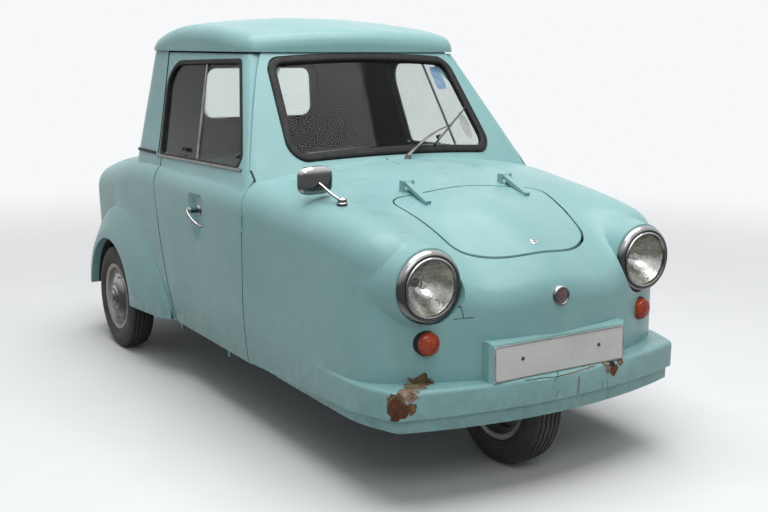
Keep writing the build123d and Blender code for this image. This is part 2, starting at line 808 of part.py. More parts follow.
for side, name in ((-1, "door_right"), (1, "door_left")):
    opening = door_prism(side, SHUT_GAP)
    panel = (lower_out + cabin_out) & opening
    panel = panel - door_low_in - door_high_in - window_prism(side)
    panel = panel - scoop(side) + hinge_barrel(side, HINGE_ZS[1] + FIT, HINGE_ZS[2] - FIT, HINGE_Y + 8)
    for y in PEG_YS:
        panel = panel + peg(side, y)
    save(panel, name)
    pane = (glass_out & window_prism(side)) - glass_in
    save(pane, name + "_glass")
    save(handle(side), name + "_handle")

# Windscreen and rear window, each with its rubber seal
rubber_out = cabin_form(-RUBBER_PROUD)
pane_out = cabin_form(GLASS_IN - 2)
pane_in = cabin_form(GLASS_IN - 2 + GLASS)
screen_room = screen_prism(RUBBER, -700, 150)
back_room = back_window_prism(RUBBER)
save((rubber_out & screen_prism(0, -700, 150)) - screen_room - cabin_in, "windscreen_seal")
save((pane_out & screen_room) - pane_in, "windscreen_glass")
save((rubber_out & back_window_prism(0)) - back_room - cabin_in, "rear_window_seal")
save((pane_out & back_room) - pane_in, "rear_window_glass")

# Lids
lid = (lower_out & lid_prism(SHUT_GAP)) - lower_in
for side in (1, -1):
    x = side * LID_HINGE_X
    eye = tube((x - EYE_HALF, LID_HINGE_Y, LID_HINGE_Z), (x + EYE_HALF, LID_HINGE_Y, LID_HINGE_Z), 9)
    arm = rail((x, LID_HINGE_Y, LID_HINGE_Z), (x, STRAP_TIP_Y, STRAP_TIP_Z), 22, 12)
    lid = lid + eye + arm
save(lid, "front_lid")
bases = []
for side in (1, -1):
    for end in (1, -1):
        x = side * LID_HINGE_X + end * (EYE_HALF + FIT + 4)
        low = (x - 4, LID_HINGE_Y - 10, LID_HINGE_Z - 30)
        block = box_between(low, (x + 4, LID_HINGE_Y + 12, LID_HINGE_Z + 9))
        bases += (block - lower_out).solids()
save(Compound(children=bases), "lid_hinge_bases")
rear_lid = (lower_out & engine_lid_prism(SHUT_GAP)) - lower_in
for side in (1, -1):
    x = side * REAR_HINGE_X
    start = (x - EYE_HALF, REAR_HINGE_Y, REAR_HINGE_Z)
    eye = tube(start, (x + EYE_HALF, REAR_HINGE_Y, REAR_HINGE_Z), 8)
    low = (x - EYE_HALF, REAR_HINGE_Y - 30, REAR_HINGE_Z - 50)
    leaf = box_between(low, (x + EYE_HALF, REAR_HINGE_Y + 3, REAR_HINGE_Z - 7)) - lower_in
    rear_lid = rear_lid + eye + leaf
save(rear_lid, "engine_lid")


# Lamps, badge and plates
def lamp_rim(side):
    y = LAMP_Y
    profile = [
        (y + RIM_DEPTH, BOWL_R - 3), (y + RIM_DEPTH, LAMP_R), (y + 12, LAMP_R),
        (y, LAMP_R - 8), (y + 4, BOWL_R - 3),
    ]
    return along_y(profile, side * LAMP_X, LAMP_Z)


def lamp_lens(side):
    """A domed glass: a slice of a large ball inside the rim."""
    back = LAMP_Y + 6
    radius = BOWL_R - 3 - FIT
    ball = Pos(side * LAMP_X, back - LENS_SAG + LENS_BALL_R, LAMP_Z) * Sphere(LENS_BALL_R)
    return ball & tube((side * LAMP_X, back - 2 * LENS_SAG, LAMP_Z), (side * LAMP_X, back, LAMP_Z), radius)


def lamp_bowl(side):
    y = LAMP_Y + 7
    r = BOWL_R - 3 - FIT
    inner = [(y + 80, 0), (y + 80, 26), (y + 27, r - 3)]
    profile = [(y, r - 3), (y, r), (y + 30, r), (y + 85, 30), (y + 85, 0)] + inner
    return along_y(profile, side * LAMP_X, LAMP_Z)


def indicator(side):
    y = INDICATOR_Y
    r = INDICATOR_R
    back = y + INDICATOR_DEPTH
    profile = [(back, 0), (back, r), (y, r), (y, r - 5), (y - 8, r - 9), (y - 16, r - 20), (y - 18, 0)]
    return along_y(profile, side * INDICATOR_X, INDICATOR_Z) - lower_out


save(both_sides(lamp_rim(1)), "headlamp_rims")
save(both_sides(lamp_lens(1)), "headlamp_lenses")
save(both_sides(lamp_bowl(1)), "headlamp_bowls")
save(both_sides(indicator(1)), "front_indicators")
plate = Pos(0, PLATE_BACK_Y - PLATE_THICK / 2 - RUN_FIT, PLATE_Z) * Rot(-PLATE_TILT, 0, 0)
save(plate * Box(PLATE_WIDTH, PLATE_THICK, PLATE_HEIGHT), "front_plate")
dome = [(NOSE_Y - 6, 0), (NOSE_Y - 4, BADGE_R - 6), (NOSE_Y, BADGE_R)]
boss = along_y(dome + [(NOSE_Y + 20, BADGE_R), (NOSE_Y + 20, 0)], 0, BADGE_Z)
save(boss - lower_out, "badge")
dome = [(TAIL_LAMP_Y + 60, TAIL_LAMP_R), (TAIL_LAMP_Y + 72, 20), (TAIL_LAMP_Y + 75, 0)]
tail_lamp = along_y([(TAIL_LAMP_Y, 0), (TAIL_LAMP_Y, TAIL_LAMP_R)] + dome, TAIL_LAMP_X, TAIL_LAMP_Z)
save(both_sides(tail_lamp - lower_out), "tail_lamps")

# Mirror on the right wing and the wiper
mirror_stem = tube(MIRROR_FOOT, MIRROR_ELBOW, MIRROR_STEM_R)
mirror_stem += tube(MIRROR_ELBOW, MIRROR_NECK, MIRROR_STEM_R)
mirror_stem += Pos(*MIRROR_ELBOW) * Sphere(MIRROR_STEM_R)
mirror_base = tube(Vector(*MIRROR_FOOT) - Vector(0, 0, 30), MIRROR_FOOT, 20)
mirror_head = Box(MIRROR_WIDTH, 32, MIRROR_HEIGHT)
mirror_head = fillet(mirror_head.edges().filter_by(Axis.Y), 26)
mirror_head = fillet(mirror_head.faces().sort_by(Axis.Y)[0].edges(), 14)
mirror_head = Pos(*MIRROR_HEAD) * Rot(0, 0, MIRROR_TURN) * mirror_head
save(mirror_base - lower_out + mirror_stem + mirror_head, "wing_mirror")

half_cap = Vector(0, 0, 7)
pivot_cap = tube(Vector(*WIPER_PIVOT) - half_cap, Vector(*WIPER_PIVOT) + half_cap, 11)
wiper_arm = rail(WIPER_PIVOT, WIPER_KNUCKLE, 10, 8) + rail(WIPER_HEEL, WIPER_CLIP, 8, 6)
wiper_blade = rail(WIPER_LOW, WIPER_HIGH, 8, 14)
save(pivot_cap + wiper_arm + wiper_blade, "wiper")


# Wheels
# Half section of a pressed disc wheel with its rim: x, counted outwards, and radius
DISC_PROFILE = [
    (-RIM_HALF, RIM_R + 12),
    (-RIM_HALF + 4, RIM_R + 12),
    (-RIM_HALF + 8, RIM_R),
    (-RIM_HALF + 18, RIM_R),
    (-14, RIM_R - 16),
    (14, RIM_R - 16),
    (RIM_HALF - 18, RIM_R),
    (RIM_HALF - 8, RIM_R),
    (RIM_HALF - 4, RIM_R + 12),
    (RIM_HALF, RIM_R + 12),
    (RIM_HALF, RIM_R + 8),
    (RIM_HALF - 6, RIM_R - 6),
    (RIM_HALF - 18, RIM_R - 6),
    (16, RIM_R - 22),
    (30, 84),
    (34, 64),
    (34, HUB_BORE_R),
    (26, HUB_BORE_R),
    (26, 62),
    (22, 82),
    (8, RIM_R - 22),
    (-14, RIM_R - 22),
    (-RIM_HALF + 18, RIM_R - 6),
    (-RIM_HALF + 6, RIM_R - 6),
    (-RIM_HALF, RIM_R + 8),
]


def hub_drum(x, y, facing):
    """Brake drum and hub on the inner side of a wheel, bored for the stub axle."""
    bore = STUB_R + RUN_FIT
    profile = [(-DRUM_IN, bore), (-DRUM_IN, 70), (-16, DRUM_R), (6, DRUM_R)]
    profile += [(24, 58), (HUB_OUT, 56), (HUB_OUT, bore)]
    return along_x([(x + facing * px, r) for px, r in profile], y, WHEEL_Z)


def disc_wheel(x, y, facing):
    """A disc wheel on its brake drum, whose hub faces the sign of facing."""
    points = [(x + facing * px, r) for px, r in DISC_PROFILE]
    wheel = along_x(points, y, WHEEL_Z) + hub_drum(x, y, facing)
    for k in range(BOLT_COUNT):
        angle = 2 * math.pi * (k + 0.5) / BOLT_COUNT
        hy = y + BOLT_CIRCLE_R * math.cos(angle)
        hz = WHEEL_Z + BOLT_CIRCLE_R * math.sin(angle)
        wheel -= tube((x - facing * 60, hy, hz), (x + facing * 60, hy, hz), BOLT_HOLE_R)
    return wheel


def tyre(x, y):
    """A tyre's section turned about its axle, with a flat tread and round shoulders."""
    half = [(40, RIM_R + FIT), (42, RIM_R + 16), (55, 178), (TYRE_HALF, 193)]
    half += [(46, TYRE_R - 8), (TREAD_HALF, TYRE_R)]
    points = half + [(-w, r) for w, r in reversed(half)]
    return along_x([(x + w, r) for w, r in points], y, WHEEL_Z)


def hub_cap(x, y, facing):
    """Domed cap with a raised middle, pressed over the wheel's centre."""
    profile = [(HUB_OUT, 0), (HUB_OUT, HUB_R - 22), (30, HUB_R - 3), (33, HUB_R), (40, HUB_R - 6)]
    profile += [(52, 66), (58, 52), (60, 30), (66, 22), (68, 0)]
    return along_x([(x + facing * px, r) for px, r in profile], y, WHEEL_Z)


for side, name in ((1, "rear_left"), (-1, "rear_right")):
    x = side * REAR_TRACK_HALF
    save(disc_wheel(x, REAR_WHEEL_Y, side), name + "_wheel")
    save(tyre(x, REAR_WHEEL_Y), name + "_tyre")
    save(hub_cap(x, REAR_WHEEL_Y, side), name + "_hub_cap")
save(disc_wheel(0, FRONT_WHEEL_Y, 1), "front_wheel")
save(tyre(0, FRONT_WHEEL_Y), "front_tyre")


# Steered fork, its axis leaning back at the top
def on_steer_axis(height):
    """Point of the steering axis at a height above the ground."""
    return (0, FRONT_WHEEL_Y + (height - WHEEL_Z) * math.tan(RAKE), height)


crown_low = on_steer_axis(CROWN_Z)
crown_high = on_steer_axis(CROWN_Z + CROWN_THICK)
head_low = on_steer_axis(HEAD_LOW_Z)
head_top = on_steer_axis(HEAD_TOP_Z)
fork = tube(crown_low, crown_high, CROWN_R)
fork += tube(crown_high, on_steer_axis(HEAD_LOW_Z - FIT), HEAD_R - 4)
fork += tube(crown_high, on_steer_axis(HEAD_TOP_Z + 14), HEAD_BORE_R - RUN_FIT)
fork += tube(on_steer_axis(HEAD_TOP_Z + FIT), on_steer_axis(HEAD_TOP_Z + 14), HEAD_R - 4)
leg_points = [
    (crown_low[1] - 30, CROWN_Z + 10),
    (crown_low[1] + 30, CROWN_Z + 10),
    (FRONT_WHEEL_Y + 22, WHEEL_Z - 28),
    (FRONT_WHEEL_Y - 22, WHEEL_Z - 28),
]
for side in (1, -1):
    fork += side_prism(leg_points, side, FORK_LEG_X - 6, FORK_LEG_X + 6)
fork += tube((-FORK_LEG_X - 12, FRONT_WHEEL_Y, WHEEL_Z), (FORK_LEG_X + 12, FRONT_WHEEL_Y, WHEEL_Z), STUB_R)
for start, end in ((-FORK_LEG_X, -DRUM_IN - FIT), (FORK_LEG_X, HUB_OUT + FIT)):
    fork += tube((start, FRONT_WHEEL_Y, WHEEL_Z), (end, FRONT_WHEEL_Y, WHEEL_Z), SPACER_R)
save(fork, "front_fork")

# Chassis: two rails that rise over the rear axle, and a head frame for the fork
chassis = tube(head_low, head_top, HEAD_R)
for side in (1, -1):
    near = RAIL_X - RAIL_WIDTH / 2
    far = RAIL_X + RAIL_WIDTH / 2
    runs = [
        (HEAD_FRAME_Y - 20, RAIL_RISE_Y, RAIL_LOW_Z, RAIL_HIGH_Z),
        (RAIL_RISE_Y - 40, RAIL_RISE_Y, RAIL_LOW_Z, REAR_RAIL_HIGH_Z),
        (RAIL_RISE_Y - 40, RAIL_END_Y, REAR_RAIL_LOW_Z, REAR_RAIL_HIGH_Z),
        (REAR_WHEEL_Y - 25, REAR_WHEEL_Y + 25, REAR_RAIL_HIGH_Z, DAMPER_TOP_Z),
    ]
    for y_low, y_high, z_low, z_high in runs:
        chassis += side_box(side, near, far, y_low, y_high, z_low, z_high)
    post_low = (side * HEAD_POST_X - 18, HEAD_FRAME_Y - 18, RAIL_LOW_Z)
    chassis += box_between(post_low, (side * HEAD_POST_X + 18, HEAD_FRAME_Y + 18, HEAD_ARM_Z + 18))
    arm_start = (side * HEAD_POST_X, HEAD_FRAME_Y, HEAD_ARM_Z)
    chassis += rail(arm_start, (side * 20, on_steer_axis(HEAD_ARM_Z)[1], HEAD_ARM_Z), 30, 36)
    for y in OUTRIGGER_YS:
        chassis += side_box(side, RAIL_X, OUTRIGGER_X, y - 25, y + 25, RAIL_LOW_Z + 20, RAIL_HIGH_Z)
for y in (HEAD_FRAME_Y, 0, RAIL_RISE_Y - 30):
    chassis += box_between((-RAIL_X, y - 20, RAIL_LOW_Z), (RAIL_X, y + 20, RAIL_HIGH_Z))
chassis += box_between((-RAIL_X, RAIL_END_Y - 50, REAR_RAIL_LOW_Z), (RAIL_X, RAIL_END_Y, REAR_RAIL_HIGH_Z))
beam_low = (-DAMPER_X - 25, REAR_WHEEL_Y - 25, DAMPER_TOP_Z)
chassis += box_between(beam_low, (DAMPER_X + 25, REAR_WHEEL_Y + 25, DAMPER_TOP_Z + 30))
chassis -= tube(on_steer_axis(HEAD_LOW_Z - 5), on_steer_axis(HEAD_TOP_Z + 5), HEAD_BORE_R)
save(chassis, "chassis_frame")

# Rear axle, trailing arms and dampers
axle_half = REAR_TRACK_HALF - DRUM_IN - FIT
axle = tube((-axle_half, REAR_WHEEL_Y, WHEEL_Z), (axle_half, REAR_WHEEL_Y, WHEEL_Z), SPACER_R)
stub_end = REAR_TRACK_HALF + 30
axle += tube((-stub_end, REAR_WHEEL_Y, WHEEL_Z), (stub_end, REAR_WHEEL_Y, WHEEL_Z), STUB_R)
for side in (1, -1):
    arm_ys = (RAIL_RISE_Y + FIT, REAR_WHEEL_Y)
    axle += side_box(side, ARM_X - 18, ARM_X + 18, *arm_ys, WHEEL_Z - 20, WHEEL_Z + 20)
    pad_ys = (REAR_WHEEL_Y - 22, REAR_WHEEL_Y + 22)
    axle += side_box(side, DAMPER_X - 22, DAMPER_X + 22, *pad_ys, WHEEL_Z, DAMPER_LOW_Z)
save(axle, "rear_axle")
damper_low = (DAMPER_X, REAR_WHEEL_Y, DAMPER_LOW_Z + FIT)
damper = tube(damper_low, (DAMPER_X, REAR_WHEEL_Y, DAMPER_TOP_Z - FIT), DAMPER_R)
for k in range(SPRING_TURNS):
    z = DAMPER_LOW_Z + 30 + k * SPRING_PITCH
    damper += tube((DAMPER_X, REAR_WHEEL_Y, z), (DAMPER_X, REAR_WHEEL_Y, z + SPRING_WIRE), SPRING_R)
save(both_sides(damper), "rear_dampers")

# Engine block and exhaust
engine_low = (-ENGINE_HALF, RAIL_END_Y - 230, REAR_RAIL_HIGH_Z + FIT)
engine = box_between(engine_low, (ENGINE_HALF, RAIL_END_Y - 10, ENGINE_TOP_Z))
save(engine, "engine_block")
silencer_y = RAIL_END_Y + SILENCER_R + FIT
silencer_z = REAR_RAIL_LOW_Z + 20
silencer = tube((-250, silencer_y, silencer_z), (250, silencer_y, silencer_z), SILENCER_R)
bend = (TAIL_PIPE_X, silencer_y, TAIL_PIPE_Z)
pipe_end = (TAIL_PIPE_X, TAIL_PIPE_END_Y, TAIL_PIPE_Z - 4)
silencer += tube((-240, silencer_y, silencer_z - 10), bend, TAIL_PIPE_R)
silencer += Pos(*bend) * Sphere(TAIL_PIPE_R)
silencer += tube(bend, pipe_end, TAIL_PIPE_R)
silencer -= tube(Vector(*pipe_end) - Vector(0, 90, 0), Vector(*pipe_end) + Vector(0, 10, 0), TAIL_PIPE_BORE_R)
save(silencer, "exhaust")

# Cabin tub: floor, sills and the two bulkheads
tub = box_between((-TUB_HALF, TUB_FRONT_Y, RAIL_HIGH_Z), (TUB_HALF, TUB_REAR_Y, RAIL_HIGH_Z + TUB_WALL))
for side in (1, -1):
    tub += side_box(side, TUB_HALF - 40, TUB_HALF, TUB_FRONT_Y, TUB_REAR_Y, RAIL_HIGH_Z, RAIL_HIGH_Z + 60)
wall_low = RAIL_LOW_Z + 60
shelf_z = BELT_Z - 60
front_wall = box_between((-900, TUB_FRONT_Y, wall_low), (900, TUB_FRONT_Y + TUB_WALL, 1200))
back_wall = box_between((-900, TUB_REAR_Y - TUB_WALL, wall_low), (900, TUB_REAR_Y, shelf_z))
shelf = box_between((-900, TUB_REAR_Y - TUB_WALL, shelf_z - TUB_WALL), (900, BACK_FOOT_Y + 60, shelf_z))
tub = tub + ((front_wall + back_wall + shelf) & lower_in) - chassis
tub -= tube((-900, REAR_WHEEL_Y, WHEEL_Z), (900, REAR_WHEEL_Y, WHEEL_Z), ARCH_R - 20)
save(tub, "cabin_tub")

# Dash, seat and steering
dash = box_between((-DASH_HALF, DASH_FRONT_Y, DASH_LOW_Z), (DASH_HALF, DASH_REAR_Y, 1200)) & lower_in
under_low = (-DASH_HALF + 15, DASH_FRONT_Y - 10, 0)
dash -= box_between(under_low, (DASH_HALF - 15, DASH_REAR_Y - 16, DASH_SHELF_Z))
save(dash, "dash_panel")
floor_z = RAIL_HIGH_Z + TUB_WALL
frame_low = (-SEAT_HALF, SEAT_FRONT_Y + 40, floor_z)
seat_frame = box_between(frame_low, (SEAT_HALF, SEAT_REAR_Y, SEAT_BASE_Z))
hollow_low = (-SEAT_HALF + 25, SEAT_FRONT_Y + 20, floor_z + 12)
seat_frame -= box_between(hollow_low, (SEAT_HALF - 25, SEAT_REAR_Y - 20, SEAT_BASE_Z - 12))
save(seat_frame, "seat_frame")
cushion_low = (-SEAT_HALF, SEAT_FRONT_Y, SEAT_BASE_Z + FIT)
cushion = box_between(cushion_low, (SEAT_HALF, CUSHION_REAR_Y, SEAT_TOP_Z))
save(fillet(cushion.edges(), 28), "seat_cushion")
back = Box(2 * SEAT_HALF, SEAT_BACK_THICK, SEAT_BACK_HEIGHT)
back = fillet(back.edges(), 28)
save(Pos(0, SEAT_BACK_Y, SEAT_BACK_Z) * Rot(-SEAT_BACK_LEAN, 0, 0) * back, "seat_back")

column_dir = Vector(*COLUMN_TOP) - Vector(*COLUMN_FOOT)
column_dir = column_dir.normalized()
column_room = box_between((-500, TUB_FRONT_Y + TUB_WALL + FIT, 0), (0, 0, 1500))
save(tube(COLUMN_FOOT, COLUMN_TOP, 17) & column_room, "steering_column")
hub_start = Vector(*COLUMN_TOP) + column_dir * FIT
wheel_plane = Plane(origin=hub_start + column_dir * 22, z_dir=column_dir)
steering_wheel = extrude(Plane(origin=hub_start, z_dir=column_dir) * Circle(30), 34)
rim = Pos(STEERING_WHEEL_R, 0, 0) * Rot(90, 0, 0) * RegularPolygon(12, 8)
steering_wheel += wheel_plane * revolve(rim, axis=Axis.Z)
for angle in (90, 210, 330):
    spoke = Rot(0, 0, angle) * Pos(STEERING_WHEEL_R / 2, 0, 0) * Box(STEERING_WHEEL_R - 4, 18, 7)
    steering_wheel += wheel_plane * spoke
save(steering_wheel, "steering_wheel")
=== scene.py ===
import math
import bmesh
import bpy
from mathutils import Matrix, Vector


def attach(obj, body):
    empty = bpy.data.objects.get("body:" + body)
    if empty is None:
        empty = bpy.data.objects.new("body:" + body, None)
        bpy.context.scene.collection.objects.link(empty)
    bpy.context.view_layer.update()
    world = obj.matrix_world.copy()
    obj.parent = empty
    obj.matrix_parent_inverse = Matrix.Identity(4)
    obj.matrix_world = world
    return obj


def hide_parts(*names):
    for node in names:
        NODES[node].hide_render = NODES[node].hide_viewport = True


# Materials, then the pieces, the camera and the room. The scene is in metres and pieces are built in
# millimetres. The car's front faces -Y and its right side is -X.
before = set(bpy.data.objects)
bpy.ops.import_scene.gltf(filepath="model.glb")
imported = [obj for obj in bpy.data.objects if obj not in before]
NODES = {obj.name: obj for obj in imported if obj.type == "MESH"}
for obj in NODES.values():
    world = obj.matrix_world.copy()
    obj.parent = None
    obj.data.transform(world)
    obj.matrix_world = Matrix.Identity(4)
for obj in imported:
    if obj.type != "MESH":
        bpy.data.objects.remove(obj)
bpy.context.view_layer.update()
COLLECTION = bpy.context.scene.collection
bpy.context.scene.view_settings.view_transform = "Standard"
MM = 0.001


# Node helpers
class Nodes:
    """Short calls that add nodes to a node tree."""

    def __init__(self, tree):
        self.tree = tree

    def link(self, start, end):
        self.tree.links.new(start, end)

    def fill(self, socket, value):
        """Links an input to another node's output or sets it to a fixed value."""
        if isinstance(value, bpy.types.NodeSocket):
            self.link(value, socket)
        else:
            socket.default_value = (*value, 1) if socket.type == "RGBA" else value

    def add(self, kind, inputs=None, **settings):
        node = self.tree.nodes.new(kind)
        for key, value in settings.items():
            setattr(node, key, value)
        for key, value in (inputs or {}).items():
            self.fill(node.inputs[key], value)
        return node

    def math(self, kind, *values):
        return self.add("ShaderNodeMath", dict(enumerate(values)), operation=kind).outputs[0]

    def times(self, a, b):
        return self.math("MULTIPLY", a, b)

    def camera_sees(self):
        """1 for rays that show the background itself: camera, glossy and transmission rays."""
        path = self.add("ShaderNodeLightPath")
        total = path.outputs["Is Camera Ray"]
        for name in ("Is Glossy Ray", "Is Transmission Ray"):
            total = self.math("MAXIMUM", total, path.outputs[name])
        return total


class Shade(Nodes):
    """One material: a Principled shader and short calls that add nodes to it."""

    def __init__(self, name, **sockets):
        self.material = bpy.data.materials.new(name)
        self.material.use_nodes = True
        super().__init__(self.material.node_tree)
        self.shader = self.tree.nodes["Principled BSDF"]
        self.place = self.add("ShaderNodeTexCoord").outputs["Object"]
        self.normal = self.place.node.outputs["Normal"]
        for socket, value in sockets.items():
            self.shader.inputs[socket.replace("_", " ")].default_value = value

    def noise(self, scale, detail=4, rough=0.55):
        inputs = {"Scale": scale, "Detail": detail, "Roughness": rough, "Vector": self.place}
        return self.add("ShaderNodeTexNoise", inputs).outputs["Fac"]

    def range(self, value, low, high, to_low=0, to_high=1):
        inputs = {"Value": value, "From Min": low, "From Max": high, "To Min": to_low, "To Max": to_high}
        return self.add("ShaderNodeMapRange", inputs).outputs["Result"]

    def spots(self, scale, detail, rough, *limits):
        """Noise between two limits, turned into 0 to 1 or between two more."""
        return self.range(self.noise(scale, detail, rough), *limits)

    def mix(self, factor, a, b):
        inputs = {"Factor": factor, "A": a, "B": b}
        return self.add("ShaderNodeMix", inputs, data_type="RGBA").outputs["Result"]

    def vector(self, kind, *values, output="Vector"):
        return self.add("ShaderNodeVectorMath", dict(enumerate(values)), operation=kind).outputs[output]

    def axis(self, name, vector=None):
        return self.add("ShaderNodeSeparateXYZ", {0: vector or self.place}).outputs[name]

    def near(self, point, radius, ragged):
        """A ragged patch round a point: 1 inside it and 0 outside."""
        distance = self.vector("DISTANCE", self.place, point, output="Value")
        reach = self.math("MULTIPLY_ADD", self.noise(30, 6, 0.65), ragged * 2 * radius, radius * (1 - ragged))
        return self.range(self.math("SUBTRACT", reach, distance), 0, radius * 0.08)

    def line(self, start, end, width):
        """1 on a thin ragged line between two points (x, z), seen from the front."""
        start = Vector((start[0], 0, start[1]))
        run = Vector((end[0], 0, end[1])) - start
        offset = self.vector("MULTIPLY_ADD", self.place, (1, 0, 1), -start)
        along = self.vector("DOT_PRODUCT", offset, run / run.length_squared, output="Value")
        foot = self.vector("SCALE", run)
        self.link(self.range(along, 0, 1), foot.node.inputs["Scale"])
        gap = self.vector("DISTANCE", offset, foot, output="Value")
        wander = self.times(self.noise(90, 4, 0.7), width * 2)
        return self.range(self.math("ADD", gap, wander), width * 2.8, width * 1.6)

    def inside(self):
        """1 on the faces of a shell that look into the cabin or the nose, 0 on its outer faces."""
        offset = self.vector("SUBTRACT", self.place, CABIN_MIDDLE)
        facing = self.vector("DOT_PRODUCT", offset, self.normal, output="Value")
        inward = self.math("LESS_THAN", facing, -0.03)
        not_level = self.math("LESS_THAN", self.axis("Z", self.normal), 0.7)
        faces = self.times(inward, not_level)
        for name, reach in (("X", LINED_HALF_WIDTH), ("Y", LINED_HALF_LENGTH)):
            away = self.math("ABSOLUTE", self.axis(name, offset))
            faces = self.times(faces, self.math("LESS_THAN", away, reach))
        return faces

    def colour(self, value):
        self.link(value, self.shader.inputs["Base Color"])

    def rough(self, value):
        self.link(value, self.shader.inputs["Roughness"])

    def bump(self, height, depth, strength=1):
        node = self.add("ShaderNodeBump", {"Distance": depth, "Strength": strength, "Height": height})
        self.link(node.outputs["Normal"], self.shader.inputs["Normal"])


def mottled(name, dark, light, scale, rough, depth=0, grain=0, **sockets):
    """A material with soft patches of two colours, uneven gloss and a fine grain."""
    shade = Shade(name, **sockets)
    patches = shade.noise(scale, 5)
    shade.colour(shade.mix(shade.range(patches, 0.3, 0.7), dark, light))
    shade.rough(shade.spots(scale * 2.3, 5, 0.55, 0.3, 0.7, rough[0], rough[1]))
    if depth:
        shade.bump(shade.noise(grain, 3), depth)
    return shade.material


# Paint of the glass-fibre body
PAINT = (0.275, 0.49, 0.49)
PAINT_DEEP = (0.24, 0.45, 0.45)
PAINT_CHALK = (0.345, 0.545, 0.54)
LINING_DARK = (0.02, 0.022, 0.022)
LINING = (0.04, 0.043, 0.042)
# Road dirt low on the body, in a dark teal that also paints the shade there
LOW_DIRT_AND_SHADE = (0.095, 0.125, 0.105)
SPECK = (0.16, 0.22, 0.2)
RUST_DARK = (0.045, 0.022, 0.012)
CABIN_MIDDLE = (0, 0.1, 0.75)
LINED_HALF_LENGTH = 1.12     # the lining's reach from CABIN_MIDDLE, to the front and the back
LINED_HALF_WIDTH = 0.643


def body_paint(name, dirt_and_shade=True, damage=(), lines=(), lined=True):
    """Old gelcoat paint: slow patches, chalky haze, road dirt with painted shade low down, and broken places.
    """
    shade = Shade(name, Coat_Weight=0.05, Coat_Roughness=0.12, Specular_IOR_Level=0.28)
    tone = shade.mix(shade.spots(2.2, 3, 0.55, 0.35, 0.65), PAINT_DEEP, PAINT)
    chalk = shade.spots(9, 8, 0.7, 0.52, 0.85, 0, 0.55)
    tone = shade.mix(chalk, tone, PAINT_CHALK)
    specks = shade.spots(150, 2, 0.55, 0.73, 0.78, 0, 0.5)
    tone = shade.mix(specks, tone, SPECK)
    roughness = shade.spots(14, 6, 0.55, 0.3, 0.7, 0.24, 0.4)
    if dirt_and_shade:
        # Darker in patches towards the bottom: road dirt, and painted shade low on the body
        low = shade.range(shade.axis("Z"), 0.42, 0.22)
        darker_patches = shade.times(low, shade.spots(26, 8, 0.7, 0.35, 0.75))
        tone = shade.mix(shade.times(darker_patches, 0.6), tone, LOW_DIRT_AND_SHADE)
        roughness = shade.math("MAXIMUM", roughness, shade.times(darker_patches, 0.7))
    height = shade.noise(260, 2)
    for point, radius, ragged, colour in damage:
        patch = shade.near(point, radius, ragged)
        rust = shade.mix(shade.spots(60, 8, 0.7, 0.35, 0.65), colour, RUST_DARK)
        tone = shade.mix(patch, tone, rust)
        roughness = shade.math("MAXIMUM", roughness, shade.times(patch, 0.85))
        height = shade.math("SUBTRACT", height, shade.times(patch, 3))
    for start, end, width, colour in lines:
        mark = shade.line(start, end, width)
        tone = shade.mix(mark, tone, colour)
        height = shade.math("SUBTRACT", height, shade.times(mark, 2))
    if lined:
        lining = shade.mix(shade.spots(30, 5, 0.55, 0.3, 0.7), LINING_DARK, LINING)
        within = shade.inside()
        tone = shade.mix(within, tone, lining)
        roughness = shade.math("MAXIMUM", roughness, shade.times(within, 0.8))
    shade.colour(tone)
    shade.rough(roughness)
    shade.bump(height, 0.0004)
    return shade.material


def glass(name, tint, rough=0.02):
    shade = Shade(name, Transmission_Weight=1, IOR=1.16, Specular_IOR_Level=0.5)
    darker_patches = shade.spots(5, 8, 0.7, 0.45, 0.8, 0, 0.35)
    shade.colour(shade.mix(darker_patches, tint, tuple(0.82 * part for part in tint)))
    shade.rough(shade.spots(8, 6, 0.55, 0.4, 0.8, rough, rough + 0.1))
    return shade.material


def chrome(name, tone, rough, warm=1):
    """Plated metal with a painted reflection: pale above, dark at its waist and half pale below, with pits
    and haze.
    """
    shade = Shade(name, Metallic=1)
    # Painted reflection: the colour follows which way each face looks, pale up, dark sideways, half pale down
    ramp = shade.add("ShaderNodeValToRGB")
    shade.link(shade.range(shade.axis("Z", shade.normal), -1, 1), ramp.inputs["Fac"])
    reflection_stops = ((0, 0.2), (0.24, 0.42), (0.4, 0.07), (0.57, 0.1), (0.7, 0.6), (1, 1))
    points = ramp.color_ramp.elements
    while len(points) < len(reflection_stops):
        points.new(0.5)
    for point, (place, share) in zip(points, reflection_stops):
        point.position = place
        point.color = (tone * share, tone * share, tone * share * warm, 1)
    pits = shade.spots(240, 3, 0.55, 0.62, 0.72)
    shade.colour(shade.mix(shade.times(pits, 0.5), ramp.outputs["Color"], (0.16, 0.12, 0.09)))
    haze = shade.spots(25, 6, 0.55, 0.35, 0.75, rough * 0.6, rough * 1.8)
    shade.rough(shade.math("ADD", haze, shade.times(pits, 0.3)))
    shade.bump(shade.noise(60, 2), 0.00006)
    return shade.material


def fluted_glass():
    """Clear moulded glass with upright ribs and a few cross bands, spaced by the two sines, with painted
    highlights on them and painted shade between.
    """
    shade = Shade("fluted_glass", Alpha=0.13, Roughness=0.06, Specular_IOR_Level=0.6)
    ribs = shade.range(shade.math("SINE", shade.times(shade.axis("X"), 900)), 0.2, 0.9)
    bands = shade.range(shade.math("SINE", shade.times(shade.axis("Z"), 480)), 0.88, 0.97)
    relief_and_highlight = shade.math("MAXIMUM", ribs, bands)
    # Painted highlight on the ribs and bands, and painted shade in the grooves between them
    shade.colour(shade.mix(relief_and_highlight, (0.1, 0.11, 0.1), (0.62, 0.64, 0.62)))
    shade.bump(relief_and_highlight, 0.0005, 0.6)
    return shade.material


